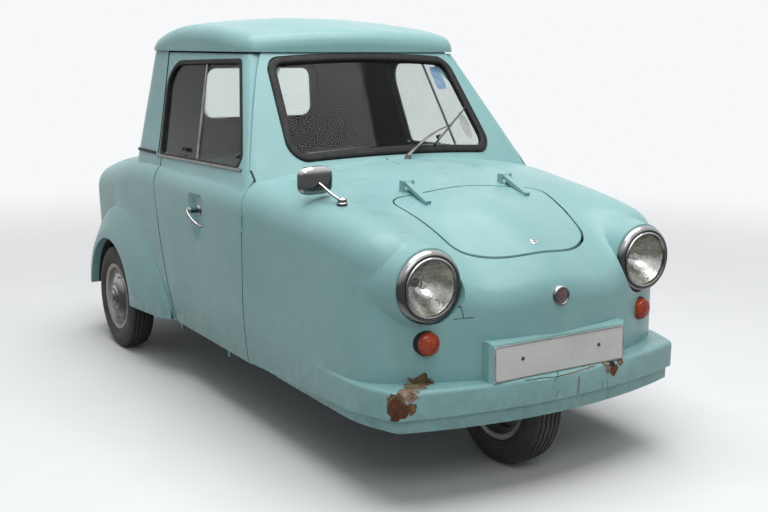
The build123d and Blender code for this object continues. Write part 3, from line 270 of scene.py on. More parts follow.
def lamp_silver():
    """Silvered bowl of a lamp with a painted reflection: bright below, where its faces look up, and dull
    above.
    """
    shade = Shade("lamp_silver", Metallic=1)
    ragged = shade.times(shade.noise(38, 5, 0.7), 0.7)
    # Painted reflection: brighter where the bowl's faces look up
    low = shade.range(shade.math("ADD", shade.axis("Z", shade.normal), ragged), 0.3, 0.62)
    spots = shade.spots(55, 6, 0.7, 0.35, 0.7)
    tone = shade.mix(low, (0.13, 0.14, 0.1), (0.93, 0.93, 0.9))
    shade.colour(shade.mix(shade.times(spots, 0.45), tone, (0.3, 0.3, 0.27)))
    shade.rough(shade.spots(40, 4, 0.55, 0.3, 0.7, 0.12, 0.35))
    shade.bump(shade.noise(70, 3), 0.0006)
    return shade.material


def grey(level):
    return (level, level, level)


RUST = (0.17, 0.06, 0.026)
FILLER = (0.36, 0.29, 0.19)
DARK_LINE = (0.05, 0.07, 0.07)
MATERIALS = {
    "paint": body_paint("body_paint"),
    "front_paint": body_paint("front_paint", damage=(
        ((-0.47, -1.238, 0.371), 0.034, 0.8, FILLER),
        ((-0.425, -1.222, 0.371), 0.03, 0.9, (0.23, 0.17, 0.1)),
        ((-0.515, -1.268, 0.368), 0.036, 0.8, (0.47, 0.33, 0.25)),
        ((-0.552, -1.264, 0.335), 0.038, 0.8, (0.24, 0.16, 0.08)),
        ((-0.508, -1.279, 0.322), 0.02, 0.8, (0.33, 0.2, 0.1)),
        ((-0.546, -1.268, 0.322), 0.034, 0.7, RUST),
        ((-0.556, -1.264, 0.293), 0.018, 0.7, (0.14, 0.035, 0.018)),
        ((0.19, -1.344, 0.366), 0.03, 0.9, (0.5, 0.42, 0.35)),
        ((0.21, -1.342, 0.345), 0.02, 0.9, RUST),
        ((0.24, -1.34, 0.366), 0.016, 0.9, (0.33, 0.22, 0.14)),
        ((0.205, -1.343, 0.362), 0.013, 0.6, (0.01, 0.007, 0.005)),
    ), lines=(
        ((-0.332, 0.606), (-0.322, 0.562), 0.0013, DARK_LINE),
        ((-0.35, 0.56), (-0.292, 0.562), 0.0012, DARK_LINE),
        ((-0.15, 0.367), (-0.03, 0.362), 0.001, DARK_LINE),
        ((-0.03, 0.362), (0.125, 0.368), 0.0012, (0.2, 0.11, 0.06)),
        ((-0.02, 0.372), (-0.044, 0.35), 0.001, DARK_LINE),
        ((0.055, 0.345), (0.052, 0.296), 0.003, (0.16, 0.17, 0.15)),
        ((-0.028, 0.318), (-0.036, 0.296), 0.0014, (0.14, 0.15, 0.13)),
        ((0.16, 0.315), (0.158, 0.29), 0.0012, (0.14, 0.15, 0.13)),
        ((0.182, 0.315), (0.182, 0.292), 0.0012, (0.14, 0.15, 0.13)),
        ((-0.556, 0.29), (-0.53, 0.262), 0.0016, (0.03, 0.03, 0.03)),
    )),
    "lid_paint": body_paint("lid_paint", dirt_and_shade=False, lined=False),
    "high_paint": body_paint("high_paint", dirt_and_shade=False),
    "well_paint": mottled("well_paint", PAINT_DEEP, PAINT, 12, (0.3, 0.45), 0.0003, 200),
    "chrome": chrome("chrome", 0.8, 0.08),
    "cap": chrome("cap_metal", 0.55, 0.26),
    "glass": glass("window_glass", (0.8, 0.84, 0.83)),
    "lens": glass("lamp_glass", (0.95, 0.96, 0.96), 0.04),
    "rubber": mottled("seal_rubber", grey(0.006), grey(0.014), 20, (0.45, 0.68), 0.0003, 90,
                      Specular_IOR_Level=0.25),
    "tyre": mottled("tyre_rubber", (0.016, 0.016, 0.015), (0.045, 0.043, 0.038), 9, (0.62, 0.88),
                    0.0006, 120),
    "wheel": mottled("wheel_paint", (0.2, 0.19, 0.18), (0.34, 0.33, 0.31), 12, (0.35, 0.6), 0.0003, 90,
                     Metallic=0.5),
    "frame": mottled("frame_paint", grey(0.018), (0.045, 0.04, 0.034), 8, (0.45, 0.75), 0.0004, 60),
    "inner": mottled("inner_shell", (0.15, 0.2, 0.19), (0.24, 0.3, 0.29), 4, (0.5, 0.75), 0.0006, 70),
    "engine": mottled("engine_metal", grey(0.1), (0.22, 0.21, 0.19), 9, (0.4, 0.7), 0.0006, 50, Metallic=0.7),
    "exhaust": mottled("exhaust_steel", (0.045, 0.03, 0.022), (0.17, 0.12, 0.09), 18, (0.5, 0.8), 0.0005, 80,
                       Metallic=0.5),
    "plate": mottled("plate_face", (0.62, 0.62, 0.6), (0.74, 0.74, 0.72), 6, (0.22, 0.42), 0.0002, 60),
    "plastic": mottled("black_plastic", (0.016, 0.016, 0.017), grey(0.034), 14, (0.35, 0.55), 0.0002, 140),
    "black": mottled("black_metal", grey(0.014), (0.035, 0.033, 0.031), 16, (0.3, 0.5), 0.0002, 70),
    "red": mottled("red_lens", (0.35, 0.012, 0.01), (0.46, 0.025, 0.018), 20, (0.1, 0.22), 0.0003, 60,
                   Coat_Weight=0.6),
    "amber": mottled("amber_lens", (0.22, 0.014, 0.001), (0.48, 0.05, 0.002), 45, (0.12, 0.24), 0.0003, 60,
                     Coat_Weight=0.1, Specular_IOR_Level=0.3),
    "alloy": mottled("bright_alloy", (0.17, 0.17, 0.165), (0.28, 0.28, 0.27), 30, (0.28, 0.45), 0.0002, 150,
                     Metallic=0.85),
    "rim": chrome("dull_chrome", 0.5, 0.24),
    "mirror": chrome("silvered", 0.92, 0.05, 0.96),
    "chrome_dull": mottled("wiper_steel", grey(0.1), (0.22, 0.22, 0.21), 20, (0.25, 0.4), 0.0002, 90,
                           Metallic=0.8),
    "enamel": mottled("badge_enamel", (0.03, 0.022, 0.022), (0.11, 0.03, 0.028), 45, (0.15, 0.3), 0.0003, 50,
                      Coat_Weight=0.4),
    "blue_paper": mottled("blue_paper", (0.1, 0.22, 0.5), (0.3, 0.42, 0.55), 40, (0.4, 0.6)),
    "cream_paper": mottled("cream_paper", (0.48, 0.47, 0.42), (0.62, 0.61, 0.57), 50, (0.4, 0.6)),
    "fluted": fluted_glass(),
    "bowl": lamp_silver(),
    "cloth": mottled("seat_cloth", (0.02, 0.02, 0.021), (0.045, 0.045, 0.046), 6, (0.45, 0.65), 0.0006, 160),
}

# The solids' nodes that show each material
SHOWN_AS = {
    "front_paint": "front_body", "lid_paint": "front_lid lid_hinge_bases", "high_paint": "roof",
    "paint": "rear_body door_left door_right engine_lid front_skirt",
    "inner": "cabin_tub", "engine": "engine_block", "exhaust": "exhaust", "cloth": "seat_back seat_cushion",
    "frame": "chassis_frame front_fork rear_axle rear_dampers seat_frame",
    "black": "badge steering_column wiper", "plastic": "dash_panel steering_wheel",
    "glass": "door_left_glass door_right_glass rear_window_glass windscreen_glass",
    "rubber": "rear_window_seal windscreen_seal", "plate": "front_plate",
    "chrome": "door_left_handle door_right_handle headlamp_bowls headlamp_rims wing_mirror",
    "lens": "headlamp_lenses", "amber": "front_indicators", "red": "tail_lamps",
    "tyre": "front_tyre rear_left_tyre rear_right_tyre",
    "wheel": "front_wheel rear_left_wheel rear_right_wheel", "cap": "rear_left_hub_cap rear_right_hub_cap",
}


def smooth(obj):
    """Smooth shading with crisp edges, without a change to the mesh's own points."""
    mesh = obj.data
    if "custom_normal" in mesh.attributes:
        mesh.attributes.remove(mesh.attributes["custom_normal"])
    mesh.shade_smooth()
    weld = obj.modifiers.new("weld", "WELD")
    weld.merge_threshold = 0.00002
    split = obj.modifiers.new("edges", "EDGE_SPLIT")
    split.split_angle = math.radians(32)
    split.use_edge_sharp = False


for shown, node_names in SHOWN_AS.items():
    for node_name in node_names.split():
        node = NODES[node_name]
        for material_slot in node.material_slots:
            material_slot.material = MATERIALS[shown]
        smooth(node)


def circle(steps):
    """Cosine and sine at equal steps round a circle."""
    return [(math.cos(2 * math.pi * k / steps), math.sin(2 * math.pi * k / steps)) for k in range(steps)]


def placed(name, data):
    """A new object in the scene."""
    obj = bpy.data.objects.new(name, data)
    COLLECTION.objects.link(obj)
    return obj


class Build:
    """Collects faces in millimetres and turns them into one piece that rides on a body."""

    def __init__(self, name, slot, kind, body="body"):
        self.name, self.slot, self.kind, self.body = name, slot, kind, body
        self.points, self.faces = [], []

    def ring_faces(self, rings, closed=False, around=True):
        """Joins rings of equal length by quads."""
        start = len(self.points)
        count = len(rings[0])
        for ring in rings:
            self.points += [tuple(p) for p in ring]
        last = len(rings) if closed else len(rings) - 1
        for i in range(last):
            a = start + i * count
            b = start + ((i + 1) % len(rings)) * count
            for j in range(count if around else count - 1):
                k = (j + 1) % count
                self.faces.append((a + j, a + k, b + k, b + j))
        return start

    def cap(self, ring_start, count, flip=False):
        order = list(range(ring_start, ring_start + count))
        self.faces.append(tuple(reversed(order)) if flip else tuple(order))

    def tube(self, rings, closed=False):
        """Joins rings and caps both ends, unless the last ring joins the first."""
        start = self.ring_faces(rings, closed)
        if not closed:
            count = len(rings[0])
            self.cap(start, count, True)
            self.cap(start + (len(rings) - 1) * count, count)

    def lathe(self, profile, centre, axis, steps=64, hollow=False):
        """Turns (along, radius) points round an axis through centre; a hollow profile closes on itself."""
        axis = Vector(axis).normalized()
        side = axis.orthogonal().normalized()
        other = axis.cross(side)
        rings = []
        for along, radius in profile:
            middle = Vector(centre) + axis * along
            rings.append([middle + (side * c + other * s) * max(radius, 0.01) for c, s in circle(steps)])
        self.tube(rings, hollow)

    def rod(self, points, radius, steps=12, flat=1, up=(0, 0, 1)):
        """A round or flattened bar through points; radius may be a list."""
        points = [Vector(p) for p in points]
        radii = radius if isinstance(radius, list) else [radius] * len(points)
        rings = []
        for i, (point, r) in enumerate(zip(points, radii)):
            ahead = points[min(i + 1, len(points) - 1)] - points[max(i - 1, 0)]
            side = ahead.cross(Vector(up)).normalized()
            other = side.cross(ahead).normalized()
            rings.append([point + side * c * r + other * s * r * flat for c, s in circle(steps)])
        self.tube(rings)

    def sweep(self, stations, profile, closed=True):
        """Carries a profile (across, out) along stations of (point, across, out)."""
        rings = [[point + across * a + out * b for a, b in profile] for point, across, out in stations]
        self.tube(rings, closed)

    def slab(self, centre, size, turn, edge):
        """A turned block with rounded edges."""
        block = bmesh.new()
        bmesh.ops.create_cube(block, size=1)
        bmesh.ops.scale(block, vec=size, verts=block.verts)
        bmesh.ops.bevel(block, geom=block.edges[:], offset=edge, segments=2, profile=0.5, affect="EDGES")
        place = Matrix.Translation(centre) @ turn
        start = len(self.points)
        block.verts.index_update()
        self.points += [tuple(place @ v.co) for v in block.verts]
        self.faces += [tuple(start + v.index for v in face.verts) for face in block.faces]
        block.free()

    def done(self, angle, hide=None):
        mesh = bpy.data.meshes.new(self.name)
        mesh.from_pydata([tuple(c * MM for c in p) for p in self.points], [], self.faces)
        bm = bmesh.new()
        bm.from_mesh(mesh)
        bmesh.ops.remove_doubles(bm, verts=bm.verts, dist=0.00002)
        bmesh.ops.recalc_face_normals(bm, faces=bm.faces)
        bm.to_mesh(mesh)
        bm.free()
        mesh.materials.append(MATERIALS[self.kind])
        obj = placed(self.name, mesh)
        mesh.shade_smooth()
        mesh.set_sharp_from_angle(angle=math.radians(angle))
        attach(obj, self.body)
        if hide:
            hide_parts(hide)
        return obj


def turned(name, slot, kind, centres, axis, profile, steps, angle, hollow=False, hide=None, body="body"):
    """A piece turned from one profile at each centre."""
    piece = Build(name, slot, kind, body)
    for centre in centres:
        piece.lathe(profile, centre, axis, steps, hollow)
    piece.done(angle, hide)


def pair(x, y, z):
    return [(-x, y, z), (x, y, z)]


def smooth_line(points, steps):
    """A smooth line through points, by Catmull-Rom."""
    points = [Vector(p) for p in points]
    ends = [2 * points[0] - points[1]] + points + [2 * points[-1] - points[-2]]
    line = []
    for i in range(1, len(ends) - 2):
        a, b, c, d = ends[i - 1:i + 3]
        for k in range(steps):
            t = k / steps
            line.append(0.5 * (2 * b + (c - a) * t + (2 * a - 5 * b + 4 * c - d) * t * t
                               + (3 * b - a - 3 * c + d) * t ** 3))
    line.append(points[-1])
    return line


def fillet(before, corner, after, radius):
    """Centre of the arc that rounds a corner, and the arc's first and last point as seen from it."""
    before, after = (before - corner).normalized(), (after - corner).normalized()
    half = before.angle(after) / 2
    reach = radius / math.tan(half)
    centre = corner + (before + after).normalized() * radius / math.sin(half)
    return centre, corner + before * reach - centre, corner + after * reach - centre


OUTLINE_SPACING = 14.0


def rounded_outline(corners):
    """Points round a closed outline of (u, v, radius) corners, with arcs at the corners."""
    line = []
    count = len(corners)
    for i, (u, v, radius) in enumerate(corners):
        here = Vector((u, v))
        if radius < 0.5:
            line.append(here)
            continue
        before, after = Vector(corners[i - 1][:2]), Vector(corners[(i + 1) % count][:2])
        centre, first, last = fillet(before, here, after, radius)
        sweep = first.angle_signed(last)
        steps = max(3, int(abs(sweep) * radius / OUTLINE_SPACING) + 3)
        for k in range(steps + 1):
            angle = sweep * k / steps
            c, s = math.cos(angle), math.sin(angle)
            line.append(centre + Vector((first.x * c + first.y * s, first.y * c - first.x * s)))
    dense = []
    for i, point in enumerate(line):
        following = line[(i + 1) % len(line)]
        pieces = max(1, int((following - point).length / (OUTLINE_SPACING * 2)))
        for k in range(pieces):
            dense.append(point.lerp(following, k / pieces))
    return dense


def stations_on(outline, place):
    """Stations along a closed outline of (u, v) on the surface that place(u, v) gives."""
    points = [place(u, v) for u, v in outline]
    stations = []
    for i, (u, v) in enumerate(outline):
        ahead = (points[(i + 1) % len(points)] - points[i - 1]).normalized()
        along_u = place(u + 1, v) - place(u - 1, v)
        along_v = place(u, v + 1) - place(u, v - 1)
        out = along_u.cross(along_v).normalized()
        stations.append((points[i], ahead.cross(out), out))
    return stations


# Surfaces of the cabin, as in the solids
BELT = 905     # height of the belt line
BELT_HALF = 601     # half width there
SCREEN_FOOT = -466     # y of the screen's middle there
SCREEN_RAKE = 0.8     # the screen runs back this far for each millimetre of height
SIDE_LEAN = 0.366     # the sides lean in this far, at the front and at the rear
REAR_LEAN = 0.16
BACK_FOOT = 785
BACK_RAKE = 0.07
SCREEN_BULGE, BULGE_HALF = 34, 430     # the screen stands this far back, at this distance from its middle
BACK_BULGE = 30     # the rear's middle stands this far behind its ends


def screen_point(x, z):
    return Vector((x, SCREEN_FOOT + SCREEN_RAKE * (z - BELT) + SCREEN_BULGE * (x / BULGE_HALF) ** 2, z))


def back_point(x, z):
    rise = z - BELT
    half = BELT_HALF - REAR_LEAN * rise
    return Vector((-x, BACK_FOOT - BACK_RAKE * rise - BACK_BULGE * (x / half) ** 2, z))


def side_point(side, y, z, out=0):
    rise = z - BELT
    half = BELT_HALF - SIDE_LEAN * rise
    rear_half = BELT_HALF - REAR_LEAN * rise
    front = SCREEN_FOOT + SCREEN_RAKE * rise + SCREEN_BULGE * (half / BULGE_HALF) ** 2
    rear = BACK_FOOT - BACK_BULGE - BACK_RAKE * rise
    x = half + (rear_half - half) * (y - front) / (rear - front)
    return Vector((side * (x + out), y, z))


def side_strip(side, start, end, steps, depth, across, lean):
    """Stations on a cabin side, along a line between two points (y, z)."""
    out = Vector((side, 0, lean)).normalized()
    stations = []
    for k in range(steps + 1):
        y, z = (a + (b - a) * k / steps for a, b in zip(start, end))
        stations.append((side_point(side, y, z, depth), Vector(across), out))
    return stations


def bowed_row(half, z, bow):
    """Points (x, z, 0) between the ends of a screen edge that rises by bow in its middle."""
    return [(t * half, z + bow * (1 - t * t), 0) for t in (-0.75, -0.5, -0.25, 0, 0.25, 0.5, 0.75)]


def seal_profile(width, proud, sink, groove=0):
    """Rounded top over a flat foot, with a groove for a filler strip: (across, out) points."""
    half = width / 2
    points = [(-half, -sink), (-half, proud * 0.35)]
    for k in range(1, 8):
        angle = math.pi * (1 - k / 8)
        across = half * 0.98 * math.cos(angle)
        dip = groove if abs(across) < width * 0.12 else 0
        points.append((across, proud * (0.35 + 0.65 * math.sin(angle)) - dip))
    return points + [(half, proud * 0.35), (half, -sink)]


# Windscreen and rear window in their rubber
SEAL_INSET = 15.0     # from the opening's edge to the middle of the rubber
SCREEN_HALF_LOW, SCREEN_HALF_HIGH = 438 - SEAL_INSET, 399 - SEAL_INSET
SCREEN_LOW_Z, SCREEN_HIGH_Z = 932 + SEAL_INSET, 1291 - SEAL_INSET
SCREEN_BOW = 16.0     # both edges of the screen rise by this in the middle
BACK_HALF = 300 - SEAL_INSET
BACK_LOW_Z, BACK_HIGH_Z = 985 + SEAL_INSET, 1262 - SEAL_INSET
SEAL_SIZE = (31, 8.5, 14, 1.6)     # width, height, depth and groove


def window_rubbers():
    low, high, rounding = SCREEN_HALF_LOW, SCREEN_HALF_HIGH, 50
    screen = [(-low, SCREEN_LOW_Z, rounding)] + bowed_row(low, SCREEN_LOW_Z, SCREEN_BOW)
    screen += [(low, SCREEN_LOW_Z, rounding), (high, SCREEN_HIGH_Z, rounding)]
    screen += bowed_row(high, SCREEN_HIGH_Z, SCREEN_BOW)[::-1] + [(-high, SCREEN_HIGH_Z, rounding)]
    back = [(-BACK_HALF, BACK_LOW_Z, 58), (BACK_HALF, BACK_LOW_Z, 58),
            (BACK_HALF - 20, BACK_HIGH_Z, 58), (20 - BACK_HALF, BACK_HIGH_Z, 58)]
    for name, corners, surface, node in (("windscreen_rubber", screen, screen_point, "windscreen_seal"),
                                         ("rear_window_rubber", back, back_point, "rear_window_seal")):
        piece = Build(name, "seal_rubber", "rubber")
        piece.sweep(stations_on(rounded_outline(corners), surface), seal_profile(*SEAL_SIZE))
        piece.done(50, node)


# Door windows: outline (y, z, rounding) of the glass in the right door, from its lower front corner up
WINDOW_CORNERS = [(-347, 918, 30), (-79, 1279, 30), (481, 1263, 92), (415, 902, 30)]
WINDOW_SHARP_R = 8     # rounding of that rear upper corner in the solids
TRIM_PROFILE = [(-5, -3), (-5, 2), (-3, 4), (3, 4), (5, 2), (5, -3)]
SILL_PROFILE = [(-5, -4), (-5, 4), (-3.6, 6), (3.6, 6), (5, 4), (5, -4)]
PILLAR_PROFILE = [(-6, -6), (-6, 3), (-3, 5), (3, 5), (6, 3), (6, -6)]


def corner_arc(radius, steps=20):
    """Points (y, z) of the arc in the upper rear corner of a door's glass."""
    above, corner, below = (Vector(point[:2]) for point in WINDOW_CORNERS[1:])
    centre, start, end = fillet(above, corner, below, radius)
    return [tuple(centre + start.lerp(end, k / steps).normalized() * radius) for k in range(steps + 1)]


def window_channel(side, body, name):
    """Rubber channel round a door's glass."""
    corners = WINDOW_CORNERS if side < 0 else WINDOW_CORNERS[::-1]
    stations = stations_on(rounded_outline(corners), lambda y, z: side_point(side, y, z))
    if side < 0:
        stations = [(point, across, -out) for point, across, out in stations]
    piece = Build(f"window_channel_{name}", "seal_rubber", "rubber", body)
    piece.sweep(stations, seal_profile(17, 2.5, 12))
    piece.done(50)


def window_corner(side, body, name):
    """Web that rounds the glass's upper rear corner."""
    inner, outer = corner_arc(WINDOW_CORNERS[2][2]), corner_arc(WINDOW_SHARP_R)
    rings = []
    for outline, out in ((inner, 0.6), (outer, 0.6), (outer, -8), (inner, -8)):
        rings.append([side_point(side, y, z, out) for y, z in outline])
    web = Build(f"window_corner_{name}", "body_paint", "high_paint", body)
    web.ring_faces(rings, closed=True, around=False)
    web.done(40)


def window_trims(side, body, name):
    """Bright sill strip, the sliding pane's bright edge and the finger knobs."""
    trims = (("sill_strip", SILL_PROFILE, (-352, 915), (446, 899), 24, 0, (0, 0, 1), 0.2),
             ("bar", TRIM_PROFILE, (56, 918), (176, 1270), 12, -6, (0, 1, 0), 0.3))
    for label, profile, *route in trims:
        strip = Build(f"window_{label}_{name}", "chrome_trim", "alloy", body)
        strip.sweep(side_strip(side, *route), profile, closed=False)
        strip.done(40)
    knobs = Build(f"window_knobs_{name}", "black_plastic", "plastic", body)
    axis = (side, 0, 0.25)
    for y, z in ((184, 942), (-294, 955)):
        knobs.lathe([(0, 9), (4, 9), (5, 5), (12, 5), (13, 8), (17, 8.5), (20, 7), (21, 0)],
                    side_point(side, y, z, -9), axis, 24)
        knobs.lathe([(0, 4), (3, 4), (4, 3), (4.5, 0)], side_point(side, y - 4, z - 24, -9), axis, 16)
    knobs.done(40)


def door_windows():
    for side, body, name in ((-1, "right_door", "right"), (1, "left_door", "left")):
        window_channel(side, body, name)
        window_corner(side, body, name)
        window_trims(side, body, name)


def pillar_strips():
    """Dark strip where each rear pillar stands on the body."""
    piece = Build("pillar_foot_strips", "seal_rubber", "rubber")
    for side in (-1, 1):
        route = side_strip(side, (468, BELT), (664, BELT), 10, 0, (0, 0, 1), 0)
        piece.sweep(route, PILLAR_PROFILE, closed=False)
    piece.done(50)


# Lamps
LAMP = (421, -1244, 658)
BACKWARD = (0, 1, 0)
FORWARD = (0, -1, 0)
LENS_R = 86.0
BOWL_DEPTH = 78.0
WELL_R = 112.2     # inside of the painted wall round a headlamp
WELL_SKIN_R = 119.0     # the skin's place is measured this far out
WELL_FRONT_Y, WELL_BACK_Y = -1224, -1222


def lamp_well(piece, side):
    """Painted wall and washer that close the nose round a headlamp, out to the skin in front of its seat."""
    lamp_x, lamp_y, lamp_z = side * LAMP[0], LAMP[1], LAMP[2]
    fronts, backs = [], []
    for across, up in circle(96):
        before = ((lamp_x + WELL_SKIN_R * across) * MM, -2, (lamp_z + WELL_SKIN_R * up) * MM)
        found, point = NODES["front_body"].ray_cast(before, BACKWARD)[:2]
        y = min(point.y / MM + 9, WELL_FRONT_Y) if found else WELL_FRONT_Y
        fronts.append((lamp_x + WELL_R * across, y, lamp_z + WELL_R * up))
        backs.append((lamp_x + WELL_R * across, WELL_BACK_Y, lamp_z + WELL_R * up))

    def wider(ring):
        return [(lamp_x + (x - lamp_x) * 1.012, y, lamp_z + (z - lamp_z) * 1.012) for x, y, z in ring]

    piece.ring_faces([fronts, backs, wider(backs), wider(fronts)], closed=True)
    piece.lathe([(17, 89), (17, 111.4), (22, 111.4), (22, 89)], (lamp_x, lamp_y, lamp_z), BACKWARD, 96, True)


def headlamps():
    dome = [(2 - 16 * (1 - (1 - k / 12) ** 2), LENS_R * (1 - k / 12)) for k in range(13)]
    bowl = [(7, LENS_R)]
    for k in range(1, 13):
        radius = 84 + (14 - 84) * k / 12
        bowl.append((7 + BOWL_DEPTH * (1 - (radius / LENS_R) ** 2), radius))
    rim = [(19, 88), (19, 105.5), (17.5, 108.5), (14, 109.5), (9, 108.6), (4, 106), (0, 102.2), (-3, 98),
           (-4.2, 94.5), (-3.4, 92), (0, 90.6), (3, 90), (12, 88)]
    ring = [(8, 89.5), (0, 90.5), (-4, 90), (-6.6, 88), (-7.2, 85.8), (-6.4, 84), (-4, 83), (4, 83)]
    bulb = [(84, 0), (84, 9), (62, 9), (56, 7), (50, 11), (44, 11), (38, 8), (35, 3), (34.5, 0)]
    glass_section = [(along + 3, radius) for along, radius in reversed(dome)] + dome
    bowl += [(along + 2.5, radius + 1.5) for along, radius in reversed(bowl)]
    lamps = pair(*LAMP)
    wells = Build("headlamp_well_pair", "body_paint", "well_paint")
    for side in (-1, 1):
        lamp_well(wells, side)
    wells.done(38)
    turned("headlamp_rim_pair", "chrome_trim", "rim", lamps, BACKWARD, rim, 96, 38, True, "headlamp_rims")
    turned("headlamp_ring_pair", "chrome_trim", "chrome", lamps, BACKWARD, ring, 96, 38, True)
    turned("headlamp_glass_pair", "lamp_glass", "fluted", lamps, BACKWARD, glass_section, 96, 60,
           hide="headlamp_lenses")
    turned("headlamp_bowl_pair", "chrome_trim", "bowl", lamps, BACKWARD, bowl, 96, 60, True, "headlamp_bowls")
    turned("headlamp_bulb_pair", "lamp_glass", "lens", lamps, BACKWARD, bulb, 32, 40)


def small_lamps():
    """Indicators, and bright rings round the tail lamps."""
    base = [(-30, 30), (-30, 37.5), (-14, 38.5), (-10, 38.2), (-8, 36), (-8, 31)]
    lens = [(-12, 35.6), (-2, 35.2), (3, 33.5), (6, 30), (6, 28.6), (9.5, 26.4), (11.5, 22.5), (11.2, 21.2),
            (14, 18), (15.2, 14.5), (14.9, 13.2), (17, 9), (18, 4), (18.2, 0)]
    ring = [(38, 34.3), (38, 38), (46, 38.5), (50, 37), (52, 34.3)]
    places = pair(422, -1241, 491)
    turned("indicator_lens_pair", "red_lens", "amber", places, FORWARD, lens, 64, 28, hide="front_indicators")
    turned("indicator_base_pair", "black_plastic", "rubber", places, FORWARD, base, 64, 40, True)
    turned("tail_lamp_rings", "chrome_trim", "chrome", pair(470, 1240, 560), BACKWARD, ring, 48, 38, True)


# Small pieces on the nose, on the lid and in front of the screen
def nose_badge():
    places = [(0, -1321, 602)]
    ring = [(-12, 30.2), (0, 31), (3, 30), (5, 27.5), (5.4, 25), (4, 23.6), (2, 23.2)]
    face = [(2, 23.5), (4, 22), (6, 16), (7, 8), (7.3, 0)]
    turned("badge_ring", "chrome_trim", "cap", places, FORWARD, ring, 64, 38, True)
    turned("badge_face", "red_lens", "enamel", places, FORWARD, face, 48, 60)


def bonnet_lock():
    piece = Build("bonnet_lock", "chrome_trim", "chrome", "bonnet_lid")
    out = Vector((0, -0.566, 0.824))
    centre = Vector((0, -1186, 743.5))
    piece.lathe([(-3, 13), (2.5, 13), (4, 12), (4.6, 9.5), (3.4, 8.6), (3.6, 4), (3.7, 0)], centre, out, 40)
    piece.slab(centre + out * 4.5, (13, 3.2, 3), Matrix.Rotation(0.969, 4, "X"), 0.8)
    piece.done(35)


def washer_jet():
    profile = [(-4, 8), (3, 8), (5, 6.5), (9, 4.5), (12, 4), (13, 0)]
    turned("washer_jet", "black_plastic", "plastic", [(-74, -449, 926)], (0, -0.2, 1), profile, 24, 40)


def wiper():
    arm = Build("wiper_arm", "black_metal", "chrome_dull")
    pivot = Vector((0, -474, 940))
    arm.lathe([(-10, 13), (2, 13), (4, 11), (12, 9), (16, 7), (17, 0)], pivot, (0, -0.5, 0.86), 32)
    route = [(0, -476, 951), (40, -456, 969), (110, -423, 1000), (180, -392, 1023), (250, -370, 1040)]
    arm.rod(smooth_line(route, 5), [7.5] * 6 + [6] * 8 + [4.5] * 7, 10, 0.5)
    blade = Build("wiper_blade", "seal_rubber", "rubber")
    low, high = Vector((150, -421, 975)), Vector((385, -295, 1107))
    along = (high - low).normalized()
    lift = Vector((0, -0.62, 0.78))
    for start, end, height, r in ((0, 1, 1, 3.2), (0.12, 0.88, 7, 2.6)):
        arm_line = [low.lerp(high, start + (end - start) * k / 8) + lift * height for k in range(9)]
        (blade if height < 2 else arm).rod(arm_line, r, 8, 1.3)
    for t in (0.12, 0.38, 0.62, 0.88):
        arm.rod([low.lerp(high, t) + lift, low.lerp(high, t) + lift * 8], 2.6, 8)
    arm.slab(low.lerp(high, 0.44) + lift * 8, (22, 9, 9), Matrix.Rotation(0.5, 4, "Z"), 2)
    arm.done(40, "wiper")
    blade.done(40)


def squircle(half_x, half_z, power, steps):
    """Points (x, z) round a rounded rectangle; a power of 1 gives an ellipse."""
    return [(half_x * math.copysign(abs(c) ** power, c), half_z * math.copysign(abs(s) ** power, s))
            for c, s in circle(steps)]


MIRROR_HEAD = Vector((-520, -741, 918))
MIRROR_FOOT = Vector((-480, -836, 857))
MIRROR_HALF_X, MIRROR_HALF_Z = 62.5, 45.0


def mirror():
    turn = Matrix.Rotation(math.radians(8), 4, "Z")

    def ring(depth, scale):
        outline = squircle(MIRROR_HALF_X * scale, MIRROR_HALF_Z * scale, 0.52, 56)
        return [MIRROR_HEAD + turn @ Vector((x, depth, z)) for x, z in outline]

    shell = Build("wing_mirror_shell", "chrome_trim", "chrome")
    shell.tube([ring(depth, scale) for depth, scale in (
        (16, 0.93), (17, 0.98), (14, 1), (2, 0.99), (-8, 0.93), (-13, 0.8), (-16, 0.6), (-17.5, 0.3))])
    stem = [MIRROR_FOOT - Vector((0, 0, 6)), MIRROR_FOOT + Vector((-2, 6, 6)),
            (-497, -800, 880), (-512, -768, 903), (-520, -748, 915)]
    shell.rod(smooth_line(stem, 6), 4.4, 16)
    foot = [(-16, 17), (0, 17), (2, 15), (12, 14), (14, 12), (15, 8), (17, 5)]
    shell.lathe(foot, MIRROR_FOOT, (-0.05, -0.06, 1), 40)
    shell.done(38, "wing_mirror")
    pane = Build("wing_mirror_glass", "chrome_trim", "mirror")
    start = pane.ring_faces([ring(17.6, 0.9), ring(17.6, 0.4)])
    pane.cap(start + 56, 56)
    pane.done(40)


def door_handles():
    for side, body, node in ((-1, "right_door", "door_right_handle"), (1, "left_door", "door_left_handle")):
        piece = Build(f"{node}_lever", "chrome_trim", "chrome", body)
        foot = Vector((side * 632.3, -50, 742))
        out = Vector((side, 0, 0))
        piece.lathe([(0, 19), (3, 19), (5, 17), (7, 12), (22, 10.5), (30, 12), (36, 12), (39, 9), (40, 0)],
                    foot, out, 36)
        lever = [foot + out * along + Vector((0, y, z)) for along, y, z in (
            (31, 4, 2), (36, 22, 4), (40, 20, -8), (38, -6, -27), (31, -40, -44), (22, -70, -52))]
        line = smooth_line(lever, 5)
        radii = [4.2 + 2.0 * math.sin(math.pi * k / (len(line) - 1)) for k in range(len(line))]
        piece.rod(line, radii, 14, 0.62, up=(1, 0, 0))
        piece.done(40, node)


# Number plate without characters, with its raised edge and screw caps
PLATE_CENTRE = Vector((0, -1330.5, 425))
PLATE_HALF_X, PLATE_HALF_Z = 252, 51.5


